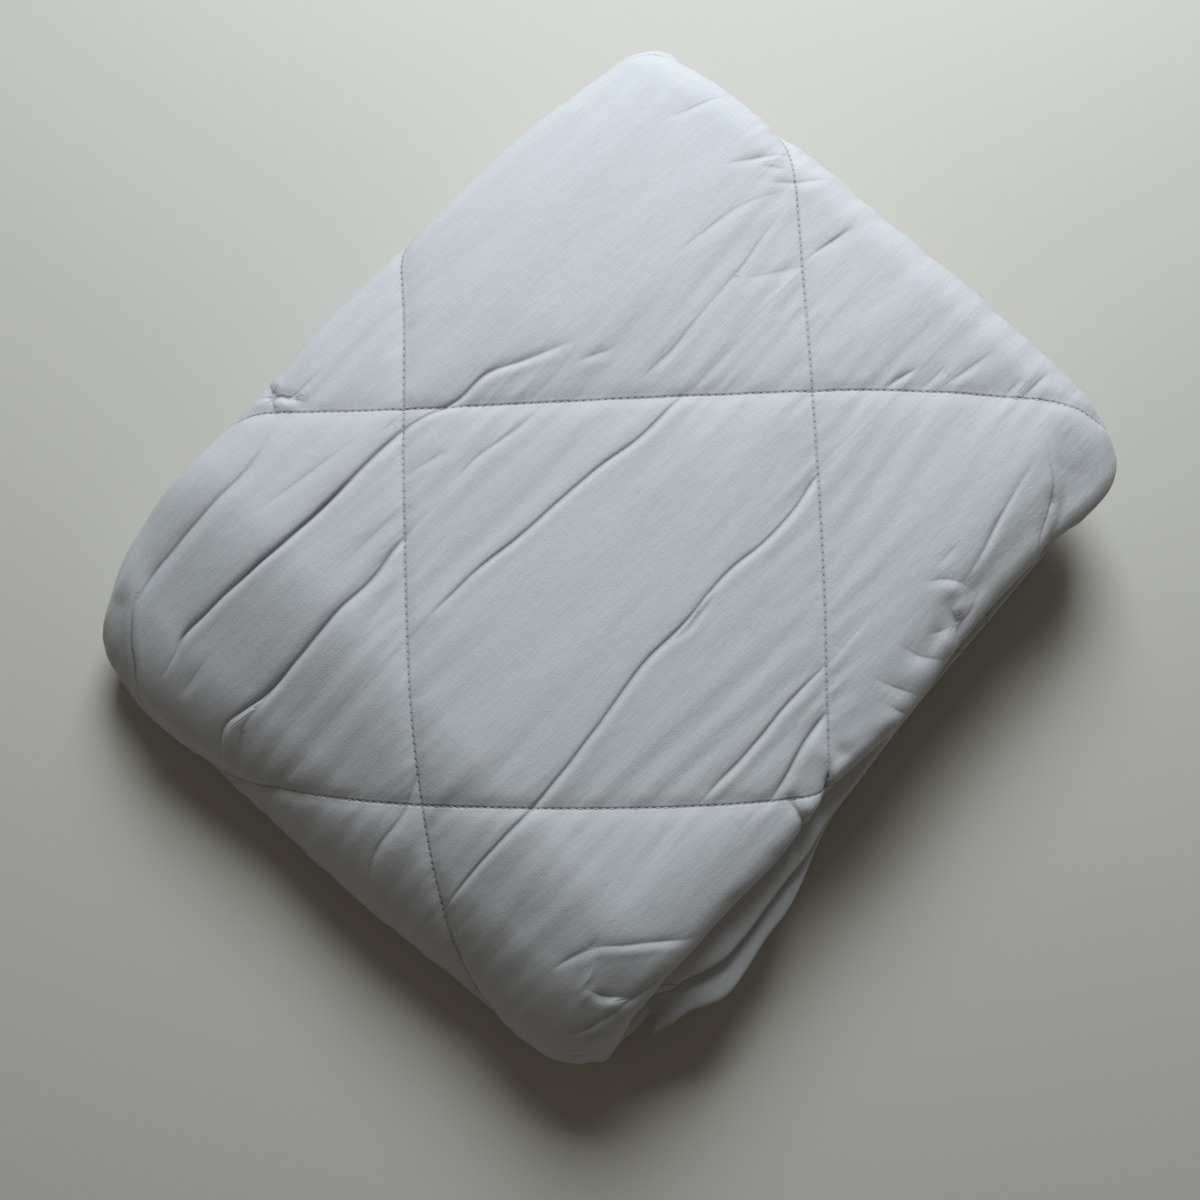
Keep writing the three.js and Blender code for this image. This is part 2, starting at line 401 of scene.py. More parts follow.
    def layer(self, path: np.ndarray, run: Run, t: np.ndarray, face: Face) -> Places:
        """Places on one side of one stretch of the cross-section.

        Args:
            path: Path coordinates, as a column.
            run: The stretch of the cross-section.
            t: Shares of the stretch, as a row, or in rows for the path coordinates.
            face: The side of the layer.

        Returns:
            The places, one row for each path coordinate.
        """
        path, t = np.broadcast_arrays(path, t)
        x, z, nx, nz, skin = self.middle_at(path)
        small, large = self.fold_centres(path)
        hem, tucked_hem = self.side_at(path, "hem_side"), large - self.tuck_gap
        from_hem = np.full(path.shape, FAR)
        if run in (Run.SMALL_FOLD, Run.LARGE_FOLD):
            is_small = run is Run.SMALL_FOLD
            angle = np.pi * (1.5 - t if is_small else 0.5 - t)
            radius = self.ply_pitch / 2 if is_small else self.ply_pitch
            ny, nn = np.cos(angle), np.sin(angle)
            y = (small if is_small else large) + radius * ny
            n = (self.ply_pitch / 2 if is_small else 0.0) + radius * nn
            across = small - self.small_arc * (1 - t) if is_small else large + self.large_arc * t
        else:
            start, end, level, side = {
                Run.TUCKED: (tucked_hem, small, 0.0, -1.0),
                Run.OUTER: (small, large, self.ply_pitch, 1.0),
                Run.COVERING: (large, hem, -self.ply_pitch, -1.0),
            }[run]
            y, n = lerp(start, end, t), level + 0 * t
            ny, nn = 0 * t, side + 0 * t
            across = y
            if run is Run.TUCKED:
                from_hem, across = tucked_hem - y, 2 * small - self.small_arc - y
            if run is Run.COVERING:
                from_hem, across = y - hem, 2 * large + self.large_arc - y
        taper = np.sqrt(np.clip(from_hem / self.hem_taper, 0, 1))
        half = lerp(self.hem_thickness / 2, self.half_ply, taper) * self.end_share_at(path)
        ny, nn = face.value * ny, face.value * nn
        y, n = y + half * ny, n + half * nn
        position = np.stack([x + n * nx, y, z + n * nz], -1)
        normal = np.stack([nn * nx, ny, nn * nz], -1)
        return Places(position, normal, path, skin, across, from_hem)

    def skin_places(self, skin: np.ndarray, across: np.ndarray) -> Places:
        """Places on the skin, given by their distances along and across it.

        Args:
            skin: Distances along the skin, as a column.
            across: Distances across it, as a column.

        Returns:
            The places, as a column.
        """
        path = self.path_at(skin)
        small, large = self.fold_centres(path)
        hem = self.side_at(path, "hem_side")
        shares = {
            Run.SMALL_FOLD: 1 - (small - across) / self.small_arc,
            Run.OUTER: (across - small) / (large - small),
            Run.LARGE_FOLD: (across - large) / self.large_arc,
            Run.COVERING: (across - large - self.large_arc) / (large - hem),
        }
        run_of = np.select([across < small, across < large, across < large + self.large_arc], [1, 2, 3], 4)
        result = None
        for run, share in shares.items():
            part = self.layer(path, run, np.clip(share, 0, 1), Face.SKIN)
            if result is None:
                result = part
                continue
            here = run_of == run.value
            result.position[here], result.normal[here] = part.position[here], part.normal[here]
            result.from_hem[here] = part.from_hem[here]
        result.across = across
        return result

    def settle(self, position: np.ndarray) -> np.ndarray:
        """Draws the wrapped ends in, lets the large turn sag, and lowers the packet towards its rims.

        Above the open side, the rim of the upper layers is also set in a little.

        Args:
            position: Places on the sharp-cornered packet.

        Returns:
            The places on the settled packet. The floor stays at z = 0.
        """
        x, y, z = position[..., 0], position[..., 1], position[..., 2]
        drawn = np.where(x < 0, self.drawn_at(y, "left"), self.drawn_at(y, "right"))
        near_end = self.end_zone.at(np.abs(x))
        sag = self.sag_depth * smooth((self.sag_from_x + self.sag_slant * y - x) / self.sag_over)
        z = z - sag * self.sag_height.at(z)
        lost = (
            self.crown_sides * np.abs(y / self.side_y) ** self.crown_power
            + self.crown_ends * np.abs(2 * x / self.packet_length) ** self.crown_power
            + self.rim_drop * self.rim_side.at(y) * self.rim_from.at(x)
        )
        high = self.inset_height.at(z) * self.inset_from.at(x) * self.inset_to.at(x)
        y = y + self.inset * high * self.inset_side.at(y)
        return np.stack([x - np.sign(x) * drawn * near_end, y, z * (1 - lost)], -1)


# Quilting, creases and other relief

class Family(Enum):
    """The two families of stitch lines, which cross at right angles."""

    FALLING = 1
    RISING = -1


@dataclass(frozen=True)
class SeamBow:
    """How far one stitch line wanders from its straight course, at stops along it."""

    family: Family
    number: int
    stops: tuple[float, ...]
    offsets: tuple[float, ...]


@dataclass
class Quilting:
    """The diamond quilting: two families of stitch lines, straight but for a little wandering."""

    square: float = 300.0
    crossing: tuple[float, float] = (-34.0, -241.0)
    stitch: float = 5.5
    bow_reach: float = 60.0
    bows: tuple[SeamBow, ...] = (
        SeamBow(Family.FALLING, 1, (-440, -385, -80, 60, 130, 180, 225), (0, -4, -6, -7, -11, -15, -21)),
        SeamBow(Family.FALLING, 0, (-416, -370, -300, -227, -35, 0), (15, 8, -1, -5, -6, -3)),
        SeamBow(Family.RISING, -1, (-116, -42, 61, 246, 384, 439), (8, 3, -3, -6, -6, -10)),
        SeamBow(Family.RISING, 0, (-3, 49, 140, 400, 516), (-4, -4, -1, 1, 2)),
    )

    def bow(self, family: Family, number: np.ndarray, along: np.ndarray) -> np.ndarray:
        """How far stitch lines wander from their straight course.

        Args:
            family: The stitch lines' family.
            number: Their numbers in the family.
            along: Distances along them from the crossing.

        Returns:
            The distances off the course.
        """
        offset = np.zeros_like(along)
        for row in self.bows:
            if row.family is family:
                wander = curve(along, row.stops, row.offsets)
                offset = np.where(number == row.number, wander, offset)
        return offset

    def seam_place(self, family: Family, number: int, along: np.ndarray) -> tuple[np.ndarray, np.ndarray]:
        """Distances along and across the skin of places on one stitch line.

        Args:
            family: The stitch line's family.
            number: Its number in the family, 0 through the crossing.
            along: Distances along it from the crossing.

        Returns:
            The distances along the skin, and those across it.
        """
        off = self.square * number + self.bow(family, np.full(along.shape, number), along)
        dx, dy = (along + off) / math.sqrt(2), (off - along) / math.sqrt(2)
        if family is Family.RISING:
            dy = -dy
        return self.crossing[0] + dx, self.crossing[1] + dy

    def squares_at(self, places: Places) -> tuple[np.ndarray, np.ndarray]:
        """Quilt coordinates: whole numbers on the stitch lines, and shares of a square between them.

        Args:
            places: Places on the skin.

        Returns:
            The coordinates across the falling family, and those across the rising one.
        """
        dx, dy = places.skin - self.crossing[0], places.across - self.crossing[1]
        falling, rising = (dx + dy) / math.sqrt(2), (dx - dy) / math.sqrt(2)
        result = []
        for family, off, along in ((Family.FALLING, falling, rising), (Family.RISING, rising, falling)):
            number = np.round(off / self.square)
            near = np.exp(-(((off - self.square * number) / self.bow_reach) ** 2))
            result.append((off - near * self.bow(family, number, along)) / self.square)
        return result[0], result[1]

    def distances(self, places: Places) -> tuple[np.ndarray, np.ndarray]:
        """How far places lie from the nearest stitch line of each family, in millimetres."""
        falling, rising = self.squares_at(places)
        return tuple(self.square * np.abs(value - np.round(value)) for value in (falling, rising))


@dataclass(frozen=True)
class Crease:
    """A fold in the shell: a valley through a few places on the skin, each with its own depth.

    The side away from the window falls gently to the valley, and the other side rises from it to a
    ridge. A depth below 0 makes a fine raised line. A drop lowers the ground beyond the crease, on
    the side of the lower y, or with a drop below 0 on the side of the higher y.
    """

    places: tuple[tuple[float, float, float], ...]  # skin, across, depth
    width: float = 1.9
    ridge: float = 0.3
    fall: float = 0.25
    drop: float = 0.0
    guides: bool = False

    STRAY, STRAY_LENGTH = 0.3, 17.0  # how far it strays from its course, and over what length
    MEAN_DEPTH, UNEVEN, UNEVEN_LENGTH = 0.95, 0.25, 33.0  # how its depth changes along it
    END_REACH = 4.0
    ROUNDING = 0.1  # keeps the valley's bottom from a sharp edge
    LOW_WIDTH = 1.3  # the valley's width on its ridge's side, in widths, as in the next two
    HIGH_GROUND, LOW_GROUND = 5.5, 1.3
    CREST_AT, CREST_WIDTH = 3.2, 2.2
    DROP_OVER, DROP_REACH = 16.0, 60.0

    def course(self, places: Places, wobble: SmoothNoise, number: int) -> tuple[np.ndarray, np.ndarray]:
        """Where places lie beside the crease, and how deep it is next to them.

        Args:
            places: The places.
            wobble: Noise that makes the crease wander and change its depth.
            number: The crease's number, so that no two wander alike.

        Returns:
            The distances from the crease, above 0 on the side of the higher y, and the depths.
        """
        points = np.array(sorted(self.places), float)
        route, depths = points[:, :2], points[:, 2]
        length = float(np.hypot(*(route[-1] - route[0])))
        run = (route[-1] - route[0]) / length
        dx, dy = places.skin - route[0, 0], places.across - route[0, 1]
        along, aside = dx * run[0] + dy * run[1], dy * run[0] - dx * run[1]
        stops, offs = (route - route[0]) @ run, (route - route[0]) @ np.array([-run[1], run[0]])
        aside = aside - curve(along, stops, offs)
        aside = aside - self.STRAY * wobble(along / self.STRAY_LENGTH, 3.7 * number)
        beyond = np.abs(along - np.clip(along, 0, length))
        depth = curve(along, stops, depths) * np.exp(-((beyond / self.END_REACH) ** 2))
        uneven = self.UNEVEN * wobble(along / self.UNEVEN_LENGTH, 1.3 + 2.1 * number)
        return aside, depth * (self.MEAN_DEPTH + uneven)

    def lift(self, aside: np.ndarray, depth: np.ndarray) -> np.ndarray:
        """The crease's lift beside it.

        Args:
            aside: Distances from the crease, above 0 on the side of the higher y.
            depth: Its depths next to them.

        Returns:
            The lifts, below 0 in the valley and above 0 on its ridge.
        """
        high, away = aside > 0, np.sqrt(aside**2 + self.ROUNDING)
        valley = -np.exp(-away / np.where(high, self.width, self.LOW_WIDTH * self.width))
        ground = -self.fall * np.exp(-away / np.where(high, self.HIGH_GROUND, self.LOW_GROUND) / self.width)
        from_crest = (aside + self.CREST_AT * self.width) / (self.CREST_WIDTH * self.width)
        crest = self.ridge * np.exp(-(from_crest**2))
        beyond = smooth(-np.sign(self.drop) * aside / self.DROP_OVER)
        sunk = np.abs(self.drop) * beyond * np.exp(-away / self.DROP_REACH)
        return depth * (valley + ground + crest) - sunk * np.minimum(np.abs(depth), 1.0)


@dataclass(frozen=True)
class Dent:
    """A round dimple, or with a negative depth a bulge, in the shell."""

    skin: float
    across: float
    depth: float
    along_size: float
    across_size: float

    def lift(self, places: Places) -> np.ndarray:
        """The dent's lift at places on the skin."""
        u = (places.skin - self.skin) / self.along_size
        v = (places.across - self.across) / self.across_size
        return -self.depth * np.exp(-(u**2 + v**2))


LONG_CREASES = (
    Crease(((-300, 184, 0.4), (-284, 186, 1.6), (-275, 189, 3.2), (-248, 186, 3.8), (-204, 179, 4.4),
            (-164, 174, 4.4), (-108, 172, 4.2), (-70, 172, 2.4), (-55, 171, 1.6), (-33, 165, 1.6),
            (-10, 157, 2.4), (18, 155, 2.6), (49, 139, 2.0), (81, 124, 0.2)), 1.9, 0.3, 0.5, guides=True),
    Crease(((-332, 112, 0.2), (-320, 118, 1.4), (-301, 122, 2.0), (-285, 118, 3.0), (-269, 113, 3.4),
            (-229, 109, 3.2), (-185, 110, 2.8), (-151, 108, 2.4), (-120, 112, 1.4), (-106, 113, 0.2)),
           2.0, 0.3, 0.5, guides=True),
    Crease(((-142, 58, 0.2), (-125, 57, 1.2), (-94, 56, 1.9), (-61, 51, 2.2), (-15, 47, 2.3), (24, 43, 2.3),
            (59, 37, 2.2), (95, 36, 1.4), (110, 35, 0.2)), 1.6, guides=True),
    Crease(((-302, -92, 0.2), (-280, -90, 1.2), (-243, -89, 1.9), (-192, -90, 2.3), (-163, -89, 2.1),
            (-106, -84, 2.3), (-54, -79, 2.5), (-27, -81, 2.1), (-5, -80, 1.4), (22, -79, 2.0),
            (70, -84, 2.2), (103, -83, 2.2), (120, -80, 1.8), (128, -79, 0.2)), 1.6, guides=True),
    Crease(((-107, -175, 0.3), (-90, -175, 2.0), (-57, -176, 1.9), (-15, -174, 1.8), (10, -175, 1.2),
            (28, -176, 0.2)), 1.6, guides=True),
    Crease(((-73, -211, 0.4), (-50, -207, 2.4), (-22, -201, 2.8), (-10, -200, 2.4), (1, -199, 0.3)),
           1.9, 0.3, guides=True),
)
SHORT_CREASES = (
    Crease(((-71, 182, 0.2), (-59, 181, 1.4), (-47, 180, 0.2))),
    Crease(((-40, -84, 0.2), (-24, -86, 1.4), (-8, -85, 1.4), (8, -84, 0.2)), 1.3),
    Crease(((-316, 101, 0.3), (-306, 105, 1.4), (-293, 110, 2.2), (-275, 109, 2.0), (-250, 111, 0.3))),
    Crease(((-84, 144, 0.2), (-70, 142, 1.2), (-51, 137, 1.0), (-43, 135, 0.1))),
    Crease(((-58, 114, 0.2), (-34, 115, 1.3), (-2, 109, 1.2), (32, 106, 0.1)), 2.2),
    Crease(((-161, 131, 0.2), (-130, 130, 1.1), (-97, 129, 0.2)), 2.4),
    Crease(((-177, 207, 0.2), (-129, 199, 1.2), (-83, 192, 0.2)), 2.6),
    Crease(((-308, 163, 0.2), (-290, 163, 1.6), (-272, 163, 0.3)), 2.6),
    Crease(((92, 66, 0.2), (108, 66, 2.0), (126, 65, 2.4), (148, 67, 1.7), (178, 69, 1.3), (213, 71, 1.7),
            (240, 75, 1.3), (268, 79, 0.2)), 2.4),
    Crease(((200, 67, 0.1), (225, 50, 0.9), (250, 36, 0.1)), 2.8),
    Crease(((72, 110, 0.2), (85, 104, 1.4), (97, 98, 0.2))),
    Crease(((-325, -34, 0.2), (-300, -26, 1.8), (-260, -23, 2.1), (-240, -16, 1.5), (-224, -10, 0.2)), 2.2),
    Crease(((-290, 236, 0.5), (-260, 241, 3.2), (-232, 240, 3.4), (-188, 238, 2.8), (-157, 237, 1.9),
            (-126, 242, 0.2)), 3.4, 0.3, 0.45),
    Crease(((-348, 160, 0.1), (-343, 180, 0.5), (-332, 200, 2.0), (-317, 211, 2.8), (-308, 220, 2.8),
            (-294, 231, 2.2), (-277, 243, 0.3)), 2.3, drop=-5.0),
    Crease(((-108, 280, 0.6), (-99, 266, 4.0), (-92, 253, 3.6), (-89, 244, 0.3)), 2.2, 0.5, 0.5),
    Crease(((-112, 252, 0.3), (-106, 260, 2.6), (-98, 276, 3.0), (-95, 287, 0.4)), 2.0, 0.4, 0.4),
    Crease(((-96, 254, 0.3), (-80, 253, 1.6), (-63, 252, 0.2))),
    Crease(((270, 196, 0.3), (295, 187, 1.8), (322, 179, 0.3)), 2.2),
    Crease(((268, 137, 0.2), (290, 123, 1.8), (313, 109, 0.3)), 2.2),
    Crease(((285, 118, 0.2), (294, 108, 1.4), (303, 98, 0.2))),
    Crease(((279, 103, 0.2), (300, 86, 2.0), (324, 70, 0.3)), 2.2),
    Crease(((185, 113, 0.1), (220, 109, 0.9), (251, 104, 1.1), (286, 88, 0.1)), 4.0),
    Crease(((250, 40, 0.2), (275, 35, 1.5), (300, 30, 0.2)), 2.4),
    Crease(((213, -71, 0.2), (228, -75, 1.9), (243, -80, 0.2))),
    Crease(((230, -92, 0.2), (247, -93, 2.1), (264, -94, 0.2))),
    Crease(((244, -102, 0.2), (266, -107, 2.3), (291, -112, 0.3))),
    Crease(((274, -141, 0.2), (286, -142, 1.8), (298, -142, 0.2))),
    Crease(((284, -152, 0.2), (300, -153, 1.9), (316, -154, 0.2))),
    Crease(((196, -252, 0.3), (211, -239, 1.6), (228, -230, 2.2), (241, -222, 2.6), (250, -213, 1.6),
            (259, -200, 0.9), (269, -188, 0.5), (277, -176, 0.1)), 2.4, 0.3, drop=6.5),
    Crease(((140, -215, 0.3), (163, -209, 1.3), (196, -199, 1.2), (220, -194, 1.0), (249, -189, 0.2)),
           1.6, 0.15),
    Crease(((153, -213, 0.2), (176, -206, 1.1), (199, -198, 0.2)), 1.8),
    Crease(((132, -187, 0.2), (146, -188, 0.9), (160, -188, 0.1))),
    Crease(((122, -190, 0.3), (129, -196, 1.4), (135, -204, 1.9), (139, -213, 1.6), (141, -223, 0.4)),
           2.4, 0.25),
    Crease(((110, -240, 1.0), (117, -237, 1.8), (131, -236, 1.6), (143, -231, 0.4)), 2.6, 0.2),
    Crease(((110, -244, 0.5), (117, -232, 1.6), (119, -216, 0.3)), 2.6),
    Crease(((96, -220, 0.3), (102, -226, 1.8), (109, -230, 0.3)), 2.2),
    Crease(((74, -210, 0.3), (79, -226, 1.7), (90, -242, 0.5)), 2.8, 0.3),
    Crease(((44, -210, 0.3), (50, -226, 1.6), (57, -240, 0.4)), 2.8, 0.3),
    Crease(((36, -230, 0.3), (39, -238, 1.6), (43, -246, 0.3)), 2.2),
    Crease(((-18, -252, 0.4), (20, -250, 1.8), (62, -252, 2.2), (110, -254, 2.4), (155, -255, 2.2),
            (200, -254, 0.4)), 1.8),
    Crease(((-70, -254, 1.0), (-65, -234, 2.8), (-63, -223, 2.0), (-60, -217, 0.3)), 2.0, 0.4),
    Crease(((-42, -253, 0.8), (-36, -240, 2.6), (-31, -231, 2.0), (-28, -226, 0.3)), 2.0, 0.4),
    Crease(((-270, -177, 0.3), (-255, -181, 1.6), (-243, -185, 1.8), (-233, -190, 2.0), (-222, -200, 1.8),
            (-204, -214, 2.0), (-195, -222, 1.8), (-182, -233, 0.3)), 1.7, 0.45),
    Crease(((-248, -186, 0.2), (-238, -186, 1.4), (-227, -186, 0.2)), 1.6),
    Crease(((-280, -201, 0.2), (-263, -199, -1.4), (-243, -195, 0.2)), 1.7, 0.0),
    Crease(((-268, -205, 0.4), (-266, -215, 2.4), (-260, -223, 1.8), (-254, -232, 0.4)), 2.4, 0.35),
    Crease(((-315, -215, 0.3), (-300, -223, 1.6), (-282, -227, 1.8), (-259, -231, 2.0), (-242, -234, 1.8),
            (-222, -237, 0.4)), 1.8),
    Crease(((-346, -224, 0.3), (-336, -234, 1.8), (-325, -246, 0.4)), 2.0),
    Crease(((-54, 125, 0.1), (-45, 145, -0.3), (-36, 165, -0.3), (-24, 206, 0.1)), 0.8, 0.0, 0.0),
    Crease(((-75, 7, 0.1), (-75, -8, -0.3), (-74, -24, 0.1)), 0.8, 0.0, 0.0),
)
DENTS = (
    Dent(130, -211, -2.2, 7, 9),
    Dent(124, -227, -2.2, 8, 6),
    Dent(100, -236, -2.0, 9, 7),
    Dent(66, -230, -2.2, 11, 9),
    Dent(28, -236, -1.8, 10, 7),
    Dent(145, -228, 1.8, 14, 9),
    Dent(96, -229, 1.6, 7, 6),
    Dent(239, -224, 1.6, 5, 5),
    Dent(-12, -226, 2.4, 6, 7),
    Dent(-22, -216, -1.8, 9, 8),
    Dent(-50, -238, -3.0, 11, 10),
    Dent(-100, -240, 1.4, 9, 7),
    Dent(-142, -240, 1.6, 8, 6),
    Dent(-272, -206, -1.2, 7, 5),
    Dent(-269, -226, -1.8, 8, 5),
)


@dataclass
class Drape:
    """A cloth simulation of the shell's visible part, laid out flat: a sheet held along its stitch lines.

    The sheet starts a little too long across the packet. Its stitch lines are then drawn in to their
    true places while the filling presses from below, so it puffs up and wrinkles between them.
    The simulation works on a larger model, whose size suits the cloth's usual settings.
    """

    quilting: Quilting
    skin_span: tuple[float, float] = (-470.0, 430.0)
    across_span: tuple[float, float] = (-292.0, 340.0)
    skin_step: float = 6.0
    across_step: float = 4.0
    edge_steps: float = 4.0
    spare_length: float = 0.024
    spare_waves: Waves = Waves(0.4, 130.0, 110.0)
    start_waves: Waves = Waves(0.3, 60.0, 9.0, 3.5)
    held_within: float = 3.2
    filling_hold: float = 0.06
    hold_waves: Waves = Waves(0.6, 40.0, 40.0, 20.5)
    pressure: float = 0.2
    point_mass: float = 0.3
    stretching: float = 15.0
    shearing: float = 5.0
    bending: float = 0.3
    damping: float = 10.0
    bending_damping: float = 1.0
    quality: int = 6
    drawn_by_frame: int = 16
    last_frame: int = 24
    highest: float = 9.0
    model_scale: float = 10.0

    def __post_init__(self) -> None:
        """Runs the simulation."""
        self.skins = np.arange(self.skin_span[0], self.skin_span[1], self.skin_step)
        self.acrosses = np.arange(self.across_span[0], self.across_span[1], self.across_step)
        self.heights = np.zeros((len(self.skins), len(self.acrosses)))
        self.heights = self.simulated()
        LOG.info("cloth simulation: moves from %.1f to %.1f mm", self.heights.min(), self.heights.max())

    def lift(self, skin: np.ndarray, across: np.ndarray) -> np.ndarray:
        """The simulated lift at places on the skin, eased between the sheet's points.

        Args:
            skin: Distances along the skin.
            across: Distances across it.

        Returns:
            The lifts, 0 beyond the sheet.
        """
        u, v = (skin - self.skins[0]) / self.skin_step, (across - self.acrosses[0]) / self.across_step
        inside = smooth(u / self.edge_steps) * smooth(v / self.edge_steps)
        inside = inside * smooth((len(self.skins) - 1 - u) / self.edge_steps)
        inside = inside * smooth((len(self.acrosses) - 1 - v) / self.edge_steps)
        i = np.clip(np.floor(u).astype(int), 0, len(self.skins) - 2)
        j = np.clip(np.floor(v).astype(int), 0, len(self.acrosses) - 2)
        u, v = smooth(u - i), smooth(v - j)
        low = lerp(self.heights[i, j], self.heights[i + 1, j], u)
        high = lerp(self.heights[i, j + 1], self.heights[i + 1, j + 1], u)
        return inside * lerp(low, high, v)

    def simulated(self) -> np.ndarray:
        """Runs the cloth simulation.

        Returns:
            The heights of the sheet's points, in millimetres.
        """
        skin, across = np.meshgrid(self.skins, self.acrosses, indexing="ij")
        noise = SmoothNoise(53)
        spare = 1 + self.spare_length * (1 + self.spare_waves.at(noise, skin, across))
        long_across = np.cumsum(self.across_step * spare, 1)
        long_across += (across[:, :1] + across[:, -1:] - long_across[:, :1] - long_across[:, -1:]) / 2
        height = self.start_waves.at(noise, skin, across)
        sheet = self.sheet(np.stack([skin, long_across, height], -1), np.stack([skin, across, height], -1))
        self.hold(sheet, skin, across, noise)
        self.add_cloth(sheet)
        scene = bpy.context.scene
        for frame_number in range(1, self.last_frame + 1):
            scene.frame_set(frame_number)
        result = sheet.evaluated_get(bpy.context.evaluated_depsgraph_get())
        points = np.empty(skin.size * 3)
        result.data.vertices.foreach_get("co", points)
        heights = points.reshape(*skin.shape, 3)[..., 2] / MM / self.model_scale
        bpy.data.objects.remove(sheet)
        scene.frame_set(1)
        return self.highest * np.tanh(heights / self.highest)

    def sheet(self, long: np.ndarray, true: np.ndarray) -> bpy.types.Object:
        """Makes the sheet, too long at first, with a shape key that is keyed to draw it in.

        Args:
            long: The places of its points at first, in millimetres.
            true: Their places on the packet.

        Returns:
            The sheet.
        """
        scale = MM * self.model_scale
        mesh = bpy.data.meshes.new("drape")
        faces = Comforter.wall_faces(*long.shape[:2])
        columns = long.shape[1]
        faces = [face for face in faces if face[2] % columns != 0]
        mesh.from_pydata((long.reshape(-1, 3) * scale).tolist(), [], faces)
        sheet = bpy.data.objects.new("drape", mesh)
        bpy.context.scene.collection.objects.link(sheet)
        sheet.shape_key_add(name="long")
        drawn = sheet.shape_key_add(name="drawn in")
        drawn.data.foreach_set("co", (true * scale).ravel())
        for value, frame_number in ((0.0, 1), (1.0, self.drawn_by_frame)):
            drawn.value = value
            drawn.keyframe_insert("value", frame=frame_number)
        return sheet

    def hold(self, sheet: bpy.types.Object, skin: np.ndarray, across: np.ndarray,
             noise: SmoothNoise) -> None:
        """Holds the stitch lines and the border fast, and all else loosely, as the filling does.

        Args:
            sheet: The sheet.
            skin: The distances of its points along the skin.
            across: Their distances across it.
            noise: Makes the filling's hold uneven.
        """
        nothing = np.zeros(skin.shape)
        places = Places(nothing, nothing, nothing, skin, across, nothing)
        fast = np.minimum(*self.quilting.distances(places)) < self.held_within
        fast[[0, -1]] = True
        fast[:, [0, -1]] = True
        loose = self.filling_hold * (1 + self.hold_waves.at(noise, skin, across))
        weights = np.round(np.where(fast, 1.0, loose), 2).ravel()
        group = sheet.vertex_groups.new(name="held")
        for weight in np.unique(weights):
            group.add(np.where(weights == weight)[0].tolist(), float(weight), "REPLACE")

    def add_cloth(self, sheet: bpy.types.Object) -> None:
        """Gives the sheet its cloth settings.

        Args:
            sheet: The sheet.
        """
        cloth = sheet.modifiers.new("cloth", "CLOTH")
        settings = cloth.settings
        settings.quality, settings.mass = self.quality, self.point_mass
        settings.vertex_group_mass = "held"
        settings.tension_stiffness = settings.compression_stiffness = self.stretching
        settings.shear_stiffness, settings.bending_stiffness = self.shearing, self.bending
        settings.tension_damping = settings.compression_damping = settings.shear_damping = self.damping
        settings.bending_damping = self.bending_damping
        settings.use_pressure, settings.uniform_pressure_force = True, self.pressure
        settings.effector_weights.gravity = 0.0
        cloth.collision_settings.use_collision = False
        cloth.point_cache.frame_start, cloth.point_cache.frame_end = 1, self.last_frame


